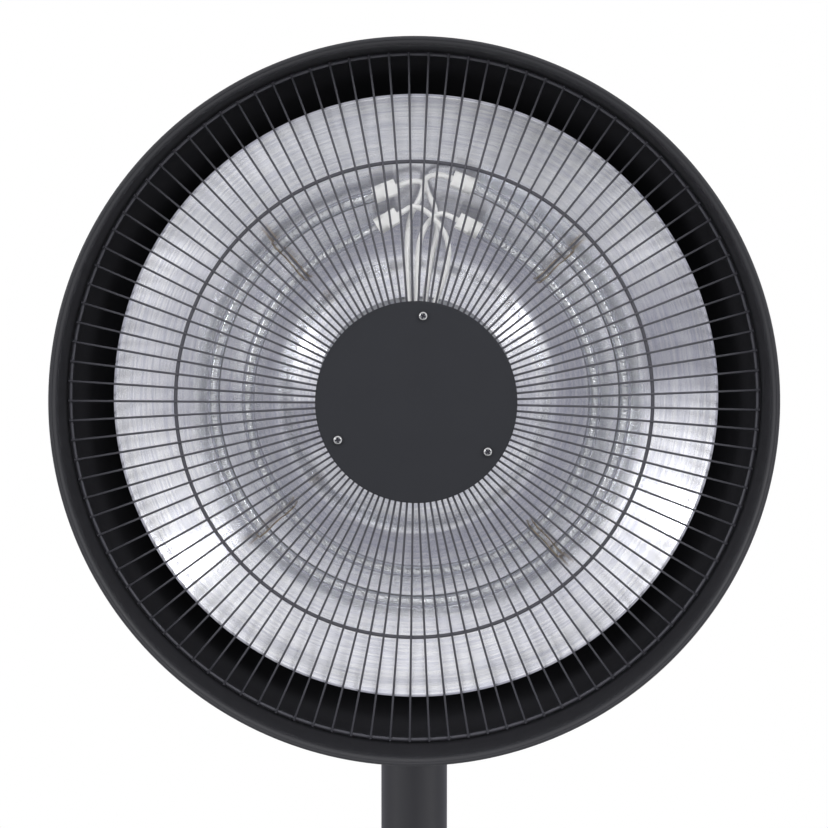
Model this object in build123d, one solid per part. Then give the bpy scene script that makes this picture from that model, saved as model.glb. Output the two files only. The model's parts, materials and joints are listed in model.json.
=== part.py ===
from build123d import *
import math
import os

os.makedirs("parts", exist_ok=True)

# A free-standing infrared patio heater. Millimetres, +Z up, the head faces -Y.
# The origin is the middle of the underside of the floor pad.
# Inside the head, "depth" is measured backwards (+Y) from the plane of the rim, "radius" from
# the head's own axis, and "clock" degrees run clockwise from the top as seen from the front.

# ------------------------------------------------------------------ fits and gaps
RUN_FIT = 0.08          # radial clearance where one piece turns or slides in another
SET_FIT = 0.05          # radial clearance of pieces that are fixed together
SEAT_GAP = 0.3          # air between a loose seat and what it sits on

# ------------------------------------------------------------------ whole heater
HEAD_Z = 1750.0         # the head's axis above the floor
POLE_TO_PIVOT = 56.0    # from the pole's axis forward to the tilt pivot

# ------------------------------------------------------------------ base
BASE_R = 210.0
BASE_THICK = 8.0
BASE_CHAMFER = 2.5
PAD_THICK = 3.0
PAD_INSET = 5.0
BASE_TOP = PAD_THICK + BASE_THICK

SOCKET_FLANGE_R = 62.0
SOCKET_FLANGE_THICK = 6.0
SOCKET_HEIGHT = 66.0
SOCKET_WALL = 5.0
SOCKET_WELD = 6.0
SOCKET_SCREWS = 4
M8_R = 4.0
BUTTON_HEAD_R = 7.0
BUTTON_HEAD_HEIGHT = 4.4
SET_SCREWS = 2
SET_SCREW_Z = 40.0

# ------------------------------------------------------------------ poles
UPPER_POLE_R = 22.5
LOWER_POLE_R = 25.0
POLE_WALL = 1.5
LOWER_POLE_LENGTH = 1000.0
POLE_OVERLAP = 170.0
LOWER_POLE_TOP = BASE_TOP + LOWER_POLE_LENGTH
LOWER_BORE_R = LOWER_POLE_R - POLE_WALL

COLLAR_WALL = 7.5
COLLAR_BELOW = 46.0     # how far the collar reaches down the lower pole
COLLAR_LIP = 8.0        # how far it stands above the bush
COLLAR_CHAMFER = 3.0
COLLAR_R = LOWER_POLE_R + COLLAR_WALL
BUSH_FLANGE = 3.0
BUSH_LENGTH = 42.0
GLIDE_LENGTH = 30.0
GLIDE_FLOOR = 3.0

BOSS_R = 11.0
BOSS_REACH = 12.0       # the knob boss beyond the collar
CLAMP_BELOW_TOP = 22.0  # the clamp screw below the lower pole's top
CLAMP_KNOB_R = 18.0
CLAMP_KNOB_THICK = 14.0
CLAMP_KNOB_NECK = 7.0
CLAMP_NECK_R = 9.5
KNOB_SCALLOPS = 6

# ------------------------------------------------------------------ yoke and tilt pivot
YOKE_WALL = 5.0
YOKE_SLEEVE = 46.0
YOKE_CAP = 8.0
YOKE_DROP = 50.0        # the upper pole ends this far below the pivot
EAR_R = 17.0
EAR_THICK = 8.0
LUG_HALF = 11.0
LUG_R = 16.0
LUG_ROOT = 24.0
LUG_REACH = 28.0        # from the back of the rear housing to the tilt pivot
WASHER_THICK = 1.6
WASHER_R = 15.0
BOLT_R = 5.0
BOLT_HEAD_R = 10.0
BOLT_HEAD_HEIGHT = 5.0
TILT_KNOB_R = 20.0
TILT_KNOB_THICK = 18.0
TILT_KNOB_NECK = 8.0
TILT_NECK_R = 12.0
INSERT_R = 8.0
INSERT_LENGTH = 16.0
EAR_INNER = LUG_HALF + WASHER_THICK + 2 * SET_FIT
EAR_OUTER = EAR_INNER + EAR_THICK
UPPER_POLE_TOP = HEAD_Z - YOKE_DROP

# ------------------------------------------------------------------ head shell
RIM_R = 212.5
HEM_R = 1.2             # the folded edge of the sheet
FLARE_R = 4.0           # the turn from the mouth wall into the rim
SHEET = 1.2
MOUTH_R = RIM_R - HEM_R - FLARE_R
MOUTH_TAPER = 0.5
MOUTH_DEPTH = 40.0
SHELL_DEPTH = 128.0
BACK_R = 70.0           # the flat at the back
SHOULDER_R = 62.0       # where the mouth wall turns into the dome
SPUN_CHORDS = 4         # each spun curve is laid in so many short chords

# ------------------------------------------------------------------ reflector
REFLECTOR_INSET = 23.3  # the dark gap between the mouth wall and the dish
REFLECTOR_R = MOUTH_R - REFLECTOR_INSET
REFLECTOR_FLANGE = 2.8
REFLECTOR_SHEET = 0.8
REFLECTOR_DEPTH = 58.0
DISH_STEPS = [(146.0, 76.0), (121.0, 86.5), (104.0, 89.5), (88.0, 89.2), (80.0, 87.2), (71.0, 83.0)]
HUB_SEAT_R = 60.0
HUB_SEAT_DEPTH = 80.0

# ------------------------------------------------------------------ hub behind the disc
HUB_R = 48.0
HUB_SHEET = 1.0
HUB_LIP_R = 58.0
CONDUIT_R = 12.0
CONDUIT_WALL = 2.0
CONDUIT_STAND = 3.0
HUB_SCREWS = 3
HUB_SCREW_RING = 36.0
SPACER_R = 5.0
M4_R = 2.0
M4_HEAD_R = 3.6
M4_HEAD_HEIGHT = 2.6
NUT_R = 4.0
NUT_THICK = 3.2

# ------------------------------------------------------------------ grille and cover disc
SPOKES = 109
SPOKE_CLOCK = -0.9      # where the first spoke stands
SPOKE_R = 0.8
RING_R = 1.25
GRILLE_INSET = 2.6      # the outer ring's middle, inside the mouth wall
GRILLE_OUTER = MOUTH_R - GRILLE_INSET
GRILLE_MIDDLE = 141.5
GRILLE_INNER = 56.8
SPOKE_DEPTH_OUT = 38.0
SPOKE_DEPTH_IN = 21.6
SPOKE_OVERRUN = 1.0
SPOKE_SIDES = 4
RING_SIDES = 5
RING_CHORDS = 54
WELD_SINK = 0.4         # how far the welds draw each spoke into its ring
DISC_R = 59.4
DISC_DEPTH = 16.5
DISC_SHEET = 1.2
DISC_EDGE = 0.8
COVER_SCREWS = 3
COVER_SCREW_RING = 51.0
COVER_SCREW_CLOCK = 4.5
COVER_HEAD_R = 2.9
COVER_HEAD_HEIGHT = 1.9

# ------------------------------------------------------------------ heating tubes
TUBE_R = 4.0
TUBE_BORE = 3.0
TUBE_DEPTH = 70.0
# Each tube is bent to a ring about its own middle (x, z) in the head. Near its ends it opens
# outwards: the end cap's clock angle, the angle where it starts to open, how far out the cap is.
OUTER_RING_R = 124.8
OUTER_RING_AT = (3.0, -0.7)
OUTER_ENDS = ((11.7, 50.0, 7.9), (350.7, 343.0, 1.9))
INNER_RING_R = 105.2
INNER_RING_AT = (4.4, -1.8)
INNER_ENDS = ((15.1, 32.4, 3.8), (349.3, 335.3, 4.9))
OUTER_TUBE = (OUTER_RING_R, OUTER_RING_AT, OUTER_ENDS)
INNER_TUBE = (INNER_RING_R, INNER_RING_AT, INNER_ENDS)
TUBE_CHORDS = 34
END_CHORD = 4.0         # clock degrees of the short chord inside each cap
TUBE_SIDES = 7
FILAMENT_R = 2.2
CAP_LENGTH = 14.6
CAP_BLOCK = 8.6         # the square part of a cap; the rest is a round collar round the glass
CAP_WIDTH = 10.0
CAP_DEEP = 10.6
CAP_CHAMFER = 1.2
CAP_COLLAR_R = 5.2
CAP_BORE = 4.6
CAP_HOLD = 7.0
SUPPORT_CLOCKS = (-42.0, 46.8, 137.4, 228.4)
SUPPORT_WIRE_R = 0.65
SUPPORT_LEGS = 1.6      # half the distance between the two legs
SUPPORT_CLEAR = 0.15

# ------------------------------------------------------------------ leads and terminal block
LEAD_R = 1.65
LEAD_SIDES = 5
LEAD_OUT = 4.5          # a lead leaves its cap straight for so long
BLOCK_X = (-12.0, 18.0)
BLOCK_Z = (14.0, 29.0)
BLOCK_DEEP = 18.0
SLOT_X = (-8.0, 14.0)
SLOT_DEPTH = (61.0, 78.0)
WIRE_R = 1.2
WIRE_SIDES = 4

# ------------------------------------------------------------------ housing on the back of the shell
HOUSING_R = 66.0
HOUSING_REAR_R = 61.0
HOUSING_LENGTH = 38.0
HOUSING_WALL = 3.0
HOUSING_CHAMFER = 5.0
HOUSING_SCREWS = 4
HOUSING_SCREW_RING = 52.0
HOUSING_BOSS_R = 4.5
HOUSING_REAR = SHELL_DEPTH + HOUSING_LENGTH
PIVOT_DEPTH = HOUSING_REAR + LUG_REACH
POLE_TO_RIM = POLE_TO_PIVOT + PIVOT_DEPTH   # from the pole's axis forward to the rim's plane
GLAND_DEPTH = SHELL_DEPTH + 19.0
GLAND_PAD_R = 13.0
GLAND_PAD_Z = 66.0
GLAND_THREAD_R = 8.0
GLAND_HEX_R = 11.0
GLAND_HEX = 5.0
GLAND_DOME_R = 8.6
GLAND_DOME = 11.0
GLAND_BORE_R = 4.2
GLAND_NUT_R = 10.5
GLAND_NUT = 4.0

SWITCH_X = 20.0
SWITCH_Z = 34.0         # above the pivot, clear of the yoke and the tilt knob
SWITCH_WIDTH = 14.2
SWITCH_HEIGHT = 21.6
SWITCH_DEEP = 18.0
BEZEL = 1.6
BEZEL_RIM = 1.6
ROCKER_SWEEP_R = 9.2
ROCKER_HALF_WIDTH = 5.6
ROCKER_GAP = 0.25
ROCKER_REST = 10.0      # degrees from the middle, switched off
MAINS_BLOCK = (30.0, 14.0, 12.0)
MAINS_BLOCK_X = 20.0
MAINS_BLOCK_Z = -24.0
TIP_SWITCH = 16.0
TIP_SWITCH_X = -19.0
TIP_SWITCH_Z = -23.0


# ------------------------------------------------------------------ helpers
def in_head(shape):
    """Moves a shape from the head's own axes to its place on the heater."""
    return Pos(0, -POLE_TO_RIM, HEAD_Z) * shape


def clocked(shape, degrees):
    """Turns a shape round the head's axis, clockwise from the top as seen from the front."""
    return Rot(0, degrees, 0) * shape


def spun(*outline):
    """A closed outline of (radius, depth) points, spun round the head's axis."""
    return revolve(make_face(Polyline(*outline, close=True)), Axis.Y)


def turned(*outline):
    """A closed outline of (radius, height) points, turned round the pole's axis."""
    points = [(radius, 0, height) for radius, height in outline]
    return revolve(make_face(Polyline(*points, close=True)), Axis.Z)


def pipe(outer_r, inner_r, low, high):
    return Pos(0, 0, low) * extrude(Circle(outer_r) - Circle(inner_r), high - low)


def rod(start, end, radius):
    """A round bar from one point to another."""
    start = Vector(*start)
    way = Vector(*end) - start
    return extrude(Plane(origin=start, z_dir=way) * Circle(radius), way.length)


def prism(start, end, radius, sides):
    """A bar with flat sides, of the same section area as a round one of that radius."""
    start = Vector(*start)
    way = Vector(*end) - start
    section = RegularPolygon(even_radius(radius, sides), sides)
    return extrude(Plane(origin=start, z_dir=way) * section, way.length)


def shank(length, radius, sides=10):
    """A screw's shank along +Z, kept inside a round hole of that radius."""
    return extrude(RegularPolygon(radius - SET_FIT, sides), length)


def even_radius(radius, sides):
    """Corner radius of the polygon whose area is that of a circle."""
    turn = 2 * math.pi / sides
    return radius * math.sqrt(turn / math.sin(turn))


def block(x, y, z):
    """A box between two limits in each direction."""
    size = Box(x[1] - x[0], y[1] - y[0], z[1] - z[0])
    return Pos((x[0] + x[1]) / 2, (y[0] + y[1]) / 2, (z[0] + z[1]) / 2) * size


def group(solids):
    return Compound(children=list(solids))


def around(count, first=0.0):
    """Evenly spaced clock angles."""
    return [first + 360.0 * i / count for i in range(count)]


def soft_route(points):
    """Straight runs joined by the largest tangent arcs that fit them."""
    knots = [Vector(*p) for p in points]
    radii = []
    for before, here, after in zip(knots, knots[1:], knots[2:]):
        run_in = here - before
        run_out = after - here
        half_turn = math.radians(run_in.get_angle(run_out)) / 2
        radii.append(0.45 * min(run_in.length, run_out.length) / math.tan(half_turn))
    return FilletPolyline(*points, radius=radii), radii


def wire_along(points, radius, sides, name):
    """A flexible wire swept along a soft route."""
    route, radii = soft_route(points)
    print(f"{name}: length {route.length:.1f}, bends {', '.join(f'{r:.1f}' for r in radii)}")
    section = RegularPolygon(even_radius(radius, sides), sides)
    return sweep(Plane(origin=route @ 0, z_dir=route % 0) * section, path=route)


def star_knob(radius, thick, neck_r, neck):
    """A hand knob along +Z: the neck first, then the scalloped head."""
    scallop_r = radius * 0.34
    head = Circle(radius)
    for angle in around(KNOB_SCALLOPS):
        reach = radius + scallop_r * 0.55
        spot = (reach * math.cos(math.radians(angle)), reach * math.sin(math.radians(angle)))
        head -= Pos(*spot) * Circle(scallop_r)
    head = extrude(head, thick)
    head = chamfer(head.faces().sort_by(Axis.Z)[-1].outer_wire().edges(), 1.5)
    return extrude(Circle(neck_r), neck) + Pos(0, 0, neck) * head


def button_screw(length):
    """A socket button-head screw along -Z, its head seated at the origin."""
    dome = [(0, 0), (BUTTON_HEAD_R, 0), (BUTTON_HEAD_R * 0.62, BUTTON_HEAD_HEIGHT)]
    head = turned(*dome, (0, BUTTON_HEAD_HEIGHT))
    head -= Pos(0, 0, BUTTON_HEAD_HEIGHT - 2.4) * extrude(RegularPolygon(2.9, 6), 3)
    return head + Pos(0, 0, -length) * shank(length, M8_R)


def pan_screw(length, head_r=M4_HEAD_R, head=M4_HEAD_HEIGHT):
    """A pan-head screw in the head's axes: the head towards the front, the shank along +Y."""
    outline = [(0, -head), (head_r * 0.55, -head), (head_r, -head * 0.35), (head_r, 0), (0, 0)]
    body = spun(*outline)
    body -= Pos(0, -head + 0.6, 0) * Rot(90, 0, 0) * extrude(RegularPolygon(head_r * 0.42, 6), 2)
    return body + Rot(-90, 0, 0) * shank(length, M4_R)


def hex_screw(length):
    """A hidden hex-head screw in the head's axes, like pan_screw but without a recess."""
    head = extrude(RegularPolygon(M4_HEAD_R, 6), -M4_HEAD_HEIGHT)
    return Rot(-90, 0, 0) * (head + shank(length, M4_R, 6))


# ------------------------------------------------------------------ base
def socket_ring_r():
    """The ring of flange screws lies midway between the neck and the flange's edge."""
    return (LOWER_POLE_R + SOCKET_WALL + SOCKET_WELD + SOCKET_FLANGE_R) / 2


def socket_screw_spots():
    ring = socket_ring_r()
    top = BASE_TOP + SOCKET_FLANGE_THICK
    turns = [math.radians(a) for a in around(SOCKET_SCREWS, 180.0 / SOCKET_SCREWS)]
    return [Pos(ring * math.cos(a), ring * math.sin(a), top) for a in turns]


def set_screw_turns():
    return [Rot(0, 0, a) for a in (60.0, 120.0)][:SET_SCREWS]


def make_floor_pad():
    return extrude(Circle(BASE_R - PAD_INSET), PAD_THICK)


def make_base_plate():
    plate = Pos(0, 0, PAD_THICK) * extrude(Circle(BASE_R), BASE_THICK)
    plate = chamfer(plate.faces().sort_by(Axis.Z)[-1].edges(), BASE_CHAMFER)
    for spot in socket_screw_spots():
        plate -= spot * rod((0, 0, 0), (0, 0, -BASE_THICK - SOCKET_FLANGE_THICK), M8_R)
    return plate


def make_pole_socket():
    bore = LOWER_POLE_R + SET_FIT
    neck = bore + SOCKET_WALL
    top = BASE_TOP + SOCKET_HEIGHT
    flange_top = BASE_TOP + SOCKET_FLANGE_THICK
    outline = [(bore, BASE_TOP), (SOCKET_FLANGE_R, BASE_TOP), (SOCKET_FLANGE_R, flange_top - 1)]
    outline += [(SOCKET_FLANGE_R - 1, flange_top), (neck + SOCKET_WELD, flange_top)]
    outline += [(neck, flange_top + SOCKET_WELD), (neck, top - 1.5), (neck - 1.5, top), (bore, top)]
    socket = turned(*outline)
    for spot in socket_screw_spots():
        socket -= spot * rod((0, 0, 1), (0, 0, -SOCKET_FLANGE_THICK - 1), M8_R)
    for turn in set_screw_turns():
        height = BASE_TOP + SET_SCREW_Z
        socket -= turn * rod((bore - 2, 0, height), (neck + 2, 0, height), M8_R)
    return socket


def make_socket_screws():
    length = SOCKET_FLANGE_THICK + BASE_THICK - 1
    return group(spot * button_screw(length) for spot in socket_screw_spots())


def make_set_screws():
    """Short grub screws that press on the lower pole."""
    screws = []
    height = BASE_TOP + SET_SCREW_Z
    inner = LOWER_POLE_R + SET_FIT
    for turn in set_screw_turns():
        grub = shank(SOCKET_WALL + 2, M8_R)
        grub -= Pos(0, 0, SOCKET_WALL) * extrude(RegularPolygon(2.3, 6), 4)
        screws.append(turn * Plane(origin=(inner, 0, height), z_dir=(1, 0, 0)).location * grub)
    return group(screws)


# ------------------------------------------------------------------ poles
def clamp_height():
    return LOWER_POLE_TOP - CLAMP_BELOW_TOP


def make_lower_pole():
    pole = pipe(LOWER_POLE_R, LOWER_BORE_R, BASE_TOP, LOWER_POLE_TOP)
    height = clamp_height()
    return pole - rod((0, LOWER_BORE_R - 3, height), (0, LOWER_POLE_R + 3, height), M8_R + SEAT_GAP)


def make_collar_bush():
    bore = UPPER_POLE_R + RUN_FIT
    sleeve = LOWER_BORE_R - SET_FIT
    low = LOWER_POLE_TOP - BUSH_LENGTH
    high = LOWER_POLE_TOP + BUSH_FLANGE
    outline = [(bore, low), (sleeve, low), (sleeve, LOWER_POLE_TOP)]
    outline += [(LOWER_POLE_R, LOWER_POLE_TOP), (LOWER_POLE_R, high), (bore, high)]
    height = clamp_height()
    return turned(*outline) - rod((0, bore - 3, height), (0, sleeve + 3, height), M8_R + SEAT_GAP)


def make_pole_collar():
    bore = LOWER_POLE_R + SET_FIT
    low = LOWER_POLE_TOP - COLLAR_BELOW
    shoulder = LOWER_POLE_TOP + BUSH_FLANGE
    high = shoulder + COLLAR_LIP
    lip = UPPER_POLE_R + SEAT_GAP
    cut = COLLAR_CHAMFER
    outline = [(bore, low), (COLLAR_R - cut, low), (COLLAR_R, low + cut), (COLLAR_R, high - cut)]
    outline += [(COLLAR_R - cut, high), (lip, high), (lip, shoulder), (bore, shoulder)]
    collar = turned(*outline)
    height = clamp_height()
    collar += rod((0, LOWER_POLE_R + 2, height), (0, COLLAR_R + BOSS_REACH, height), BOSS_R)
    hollow = pipe(bore, 0.01, low - 1, shoulder)
    return collar - hollow - rod((0, 0, height), (0, COLLAR_R + BOSS_REACH + 1, height), M8_R)


def clamp_axis():
    """The clamp knob's own axes: +Z points backwards from the end of the collar's boss."""
    start = (0, COLLAR_R + BOSS_REACH + SEAT_GAP, clamp_height())
    return Plane(origin=start, x_dir=(1, 0, 0), z_dir=(0, 1, 0))


def make_height_knob():
    knob = star_knob(CLAMP_KNOB_R, CLAMP_KNOB_THICK, CLAMP_NECK_R, CLAMP_KNOB_NECK)
    blind = extrude(Circle(M8_R + SET_FIT), CLAMP_KNOB_NECK + CLAMP_KNOB_THICK * 0.6)
    return clamp_axis().location * (knob - blind)


def make_height_stud():
    """The clamp screw's stud, from just off the upper pole into the knob."""
    reach = COLLAR_R + BOSS_REACH + SEAT_GAP - UPPER_POLE_R - SEAT_GAP
    inside = CLAMP_KNOB_NECK + CLAMP_KNOB_THICK * 0.6
    stud = Pos(0, 0, -reach) * extrude(Circle(M8_R - RUN_FIT), reach + inside)
    return clamp_axis().location * stud


def upper_pole_bottom():
    return LOWER_POLE_TOP - POLE_OVERLAP


def make_upper_pole():
    pole = pipe(UPPER_POLE_R, UPPER_POLE_R - POLE_WALL, upper_pole_bottom(), UPPER_POLE_TOP)
    return pole - yoke_screw_holes()


def make_pole_glide():
    """A nylon shoe that closes the upper pole's lower end and slides in the lower pole."""
    outer = LOWER_BORE_R - RUN_FIT
    low = upper_pole_bottom() - GLIDE_FLOOR
    high = upper_pole_bottom() + GLIDE_LENGTH
    inner = UPPER_POLE_R + SET_FIT
    plug = UPPER_POLE_R - POLE_WALL - SET_FIT
    rise = upper_pole_bottom() + 10
    outline = [(0, low), (outer, low), (outer, high), (inner, high), (inner, upper_pole_bottom())]
    outline += [(plug, upper_pole_bottom()), (plug, rise), (0, rise)]
    return turned(*outline)


# ------------------------------------------------------------------ yoke and tilt pivot
def yoke_screw_height():
    return UPPER_POLE_TOP - YOKE_SLEEVE * 0.55


def yoke_screw_holes():
    reach = UPPER_POLE_R + YOKE_WALL + 5
    height = yoke_screw_height()
    return rod((-reach, 0, height), (reach, 0, height), M4_R + SET_FIT)


def make_pole_yoke():
    bore = UPPER_POLE_R + SET_FIT
    outer = bore + YOKE_WALL
    low = UPPER_POLE_TOP - YOKE_SLEEVE
    high = UPPER_POLE_TOP + YOKE_CAP
    outline = [(0, low), (outer - 1.5, low), (outer, low + 1.5), (outer, high - 3), (outer - 3, high)]
    yoke = turned(*outline, (0, high))
    eye = Pos(-POLE_TO_PIVOT, HEAD_Z) * Circle(EAR_R)
    heel = Pos(4, (low + high) / 2) * Rectangle(outer, high - low)
    ear = Plane.YZ * make_hull(eye.edges() + heel.edges())
    for side in (-1, 1):
        start = EAR_INNER if side > 0 else -EAR_OUTER
        yoke += Pos(start, 0, 0) * extrude(ear, EAR_THICK)
    yoke -= Pos(0, 0, low - 1) * extrude(Circle(bore), UPPER_POLE_TOP - low + 1)
    yoke -= rod((-EAR_OUTER - 1, -POLE_TO_PIVOT, HEAD_Z), (EAR_OUTER + 1, -POLE_TO_PIVOT, HEAD_Z),
                BOLT_R + SET_FIT)
    return yoke - yoke_screw_holes()


def make_yoke_screws():
    screws = []
    seat = UPPER_POLE_R + SET_FIT + YOKE_WALL
    for side in (-1, 1):
        screw = pan_screw(YOKE_WALL + POLE_WALL + 2)
        turn = Rot(0, 0, 90 * side)
        screws.append(Pos(side * seat, 0, yoke_screw_height()) * turn * screw)
    return group(screws)


def pivot_axis():
    """The pivot's own axes: +Z points to the right, from the outer face of the right ear."""
    return Plane(origin=(EAR_OUTER, -POLE_TO_PIVOT, HEAD_Z), x_dir=(0, 1, 0), z_dir=(1, 0, 0))


def make_tilt_bolt():
    inside = SEAT_GAP + INSERT_LENGTH * 0.9
    stem = extrude(Circle(BOLT_R), 2 * EAR_OUTER + inside)
    dome = [(0, 0), (BOLT_HEAD_R, 0), (BOLT_HEAD_R, -1.5), (BOLT_HEAD_R * 0.6, -BOLT_HEAD_HEIGHT)]
    head = turned(*dome, (0, -BOLT_HEAD_HEIGHT))
    return pivot_axis().location * Pos(0, 0, -2 * EAR_OUTER) * (stem + head)


def make_tilt_washers():
    washers = []
    for start in (LUG_HALF + SET_FIT, -LUG_HALF - SET_FIT - WASHER_THICK):
        ring = extrude(Circle(WASHER_R) - Circle(BOLT_R + RUN_FIT), WASHER_THICK)
        washers.append(pivot_axis().location * Pos(0, 0, start - EAR_OUTER) * ring)
    return group(washers)


def make_tilt_knob():
    knob = star_knob(TILT_KNOB_R, TILT_KNOB_THICK, TILT_NECK_R, TILT_KNOB_NECK)
    knob -= extrude(Circle(INSERT_R + SET_FIT), INSERT_LENGTH + SEAT_GAP)
    return pivot_axis().location * Pos(0, 0, SEAT_GAP) * knob


def make_tilt_insert():
    nut = extrude(RegularPolygon(INSERT_R, 6), INSERT_LENGTH)
    nut -= extrude(Circle(BOLT_R + RUN_FIT), INSERT_LENGTH)
    return pivot_axis().location * Pos(0, 0, SEAT_GAP) * nut


# ------------------------------------------------------------------ head shell
def screw_ring(ring, turns):
    """Places on a ring round the head's axis, at depth zero."""
    return [Rot(0, a, 0) * Pos(0, 0, ring) for a in turns]


def housing_screw_spots():
    return screw_ring(HOUSING_SCREW_RING, around(HOUSING_SCREWS, 180.0 / HOUSING_SCREWS))


def hub_screw_spots():
    return screw_ring(HUB_SCREW_RING, around(HUB_SCREWS, 180.0 / HUB_SCREWS))


def cover_screw_spots():
    return screw_ring(COVER_SCREW_RING, around(COVER_SCREWS, COVER_SCREW_CLOCK))


def arc_points(middle, radius, start, swing, chords):
    """Points along an arc: the first and last lie on it, and the ones between at even steps."""
    angles = [math.radians(start + swing * i / chords) for i in range(chords + 1)]
    return [(middle[0] + radius * math.cos(a), middle[1] + radius * math.sin(a)) for a in angles]


def shell_face(sheet):
    """The shell's section from the rim to the back as (radius, depth) points.

    The inner face has sheet 0; the outer face lies one sheet further out on the same centres:
    a flared lip, the mouth wall, a shoulder arc and a crown arc that ends level with the back.
    """
    throat = MOUTH_R - MOUTH_TAPER
    rise = SHELL_DEPTH - SHEET - MOUTH_DEPTH
    rest = throat - BACK_R - SHOULDER_R
    crown_r = (rise ** 2 - SHOULDER_R ** 2 + rest ** 2) / (2 * (rise - SHOULDER_R))
    swing = math.degrees(math.atan2(crown_r - rise, rest))
    lip = (MOUTH_R + FLARE_R, HEM_R - SHEET / 2 + FLARE_R)
    shoulder = (throat - SHOULDER_R, MOUTH_DEPTH)
    crown = (BACK_R, MOUTH_DEPTH + rise - crown_r)
    points = arc_points(lip, FLARE_R - sheet, 270, -90, SPUN_CHORDS)
    points += arc_points(shoulder, SHOULDER_R + sheet, 0, swing, SPUN_CHORDS)
    points += arc_points(crown, crown_r + sheet, swing, 90 - swing, SPUN_CHORDS)[1:]
    return points + [(0, SHELL_DEPTH - SHEET + sheet)]


def make_head_shell():
    """Spun sheet: hemmed rim, flared lip, nearly straight mouth wall, domed back."""
    shell = spun(*shell_face(0.0), *reversed(shell_face(SHEET)))
    hem = Pos(RIM_R - HEM_R, HEM_R) * RegularPolygon(HEM_R, 8)
    shell += revolve(hem, Axis.Y)
    shell -= rod((0, 0, 0), (0, SHELL_DEPTH + 1, 0), CONDUIT_R + SET_FIT)
    for spot in housing_screw_spots() + hub_screw_spots():
        shell -= spot * rod((0, 0, 0), (0, SHELL_DEPTH + 1, 0), M4_R)
    return in_head(shell)


# ------------------------------------------------------------------ reflector and hub
def make_reflector():
    """Spun dish: flat rim flange, steep outer wall, shallow channel, raised hub seat."""
    lip = REFLECTOR_R - REFLECTOR_FLANGE
    front = [(REFLECTOR_R, REFLECTOR_DEPTH), (lip, REFLECTOR_DEPTH)] + DISH_STEPS
    front += [(HUB_SEAT_R, HUB_SEAT_DEPTH), (CONDUIT_R + SET_FIT, HUB_SEAT_DEPTH)]
    back = [(radius, depth + REFLECTOR_SHEET) for radius, depth in reversed(front)]
    dish = spun(*front, *back)
    for spot in hub_screw_spots():
        dish -= spot * rod((0, 0, 0), (0, SHELL_DEPTH, 0), M4_R)
    return in_head(dish)


def hub_lip_depth():
    """The hub's lip carries the grille's inner ring."""
    return ring_middle(GRILLE_INNER)[1] + RING_R + SEAT_GAP


def make_hub_cup():
    lip = hub_lip_depth()
    floor = HUB_SEAT_DEPTH - HUB_SHEET
    inner = HUB_R - HUB_SHEET
    bore = CONDUIT_R + SET_FIT
    outline = [(bore, HUB_SEAT_DEPTH), (HUB_R, HUB_SEAT_DEPTH), (HUB_R, lip + HUB_SHEET)]
    outline += [(HUB_LIP_R, lip + HUB_SHEET), (HUB_LIP_R, lip), (inner, lip), (inner, floor)]
    cup = spun(*outline, (bore, floor))
    for spot in hub_screw_spots():
        cup -= spot * rod((0, lip, 0), (0, SHELL_DEPTH, 0), M4_R)
    for spot in cover_screw_spots():
        cup -= spot * rod((0, 0, 0), (0, lip + 5, 0), M4_R)
    cup -= block(SLOT_X, SLOT_DEPTH, (HUB_R * 0.6, HUB_R + 5))
    return in_head(cup)


def make_reflector_spacers():
    low = HUB_SEAT_DEPTH + REFLECTOR_SHEET
    high = SHELL_DEPTH - SHEET
    section = RegularPolygon(SPACER_R, 10) - Circle(M4_R)
    pipe_along = extrude(Plane(origin=(0, low, 0), z_dir=(0, 1, 0)) * section, high - low)
    return in_head(group(spot * pipe_along for spot in hub_screw_spots()))


def make_hub_screws():
    seat = HUB_SEAT_DEPTH - HUB_SHEET
    length = SHELL_DEPTH + NUT_THICK + 1 - seat
    return in_head(group(spot * Pos(0, seat, 0) * hex_screw(length) for spot in hub_screw_spots()))


def make_hub_nuts():
    nuts = []
    for spot in hub_screw_spots():
        start = Plane(origin=(0, SHELL_DEPTH, 0), z_dir=(0, 1, 0))
        nut = extrude(start * (RegularPolygon(NUT_R, 6) - Circle(M4_R)), NUT_THICK)
        nuts.append(spot * nut)
    return in_head(group(nuts))


def make_wire_conduit():
    start = HUB_SEAT_DEPTH - HUB_SHEET - CONDUIT_STAND
    end = SHELL_DEPTH + CONDUIT_STAND
    sleeve = rod((0, start, 0), (0, end, 0), CONDUIT_R)
    return in_head(sleeve - rod((0, start - 1, 0), (0, end + 1, 0), CONDUIT_R - CONDUIT_WALL))


# ------------------------------------------------------------------ grille and cover disc
def spoke_slope():
    return (SPOKE_DEPTH_OUT - SPOKE_DEPTH_IN) / (GRILLE_OUTER - GRILLE_INNER)


def spoke_depth(radius):
    """Depth of a spoke's own axis at a radius: the spokes make a shallow cone."""
    return SPOKE_DEPTH_IN + (radius - GRILLE_INNER) * spoke_slope()


def ring_middle(radius):
    """Centre of a ring wire that lies square behind the spokes and is welded to them."""
    slope = spoke_slope()
    drop = (SPOKE_R + RING_R - WELD_SINK) / math.hypot(1, slope)
    return radius - drop * slope, spoke_depth(radius) + drop


def grille_ring(radius, depth):
    """A closed ring of round wire, bent in short chords."""
    corners = [math.radians(a) for a in around(RING_CHORDS)]
    knots = [(radius * math.sin(a), depth, radius * math.cos(a)) for a in corners]
    route = Polyline(*knots, close=True)
    section = RegularPolygon(even_radius(RING_R, RING_SIDES), RING_SIDES)
    return sweep(Plane(origin=route @ 0, x_dir=(0, 1, 0), z_dir=route % 0) * section, path=route,
                 transition=Transition.RIGHT)


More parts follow.
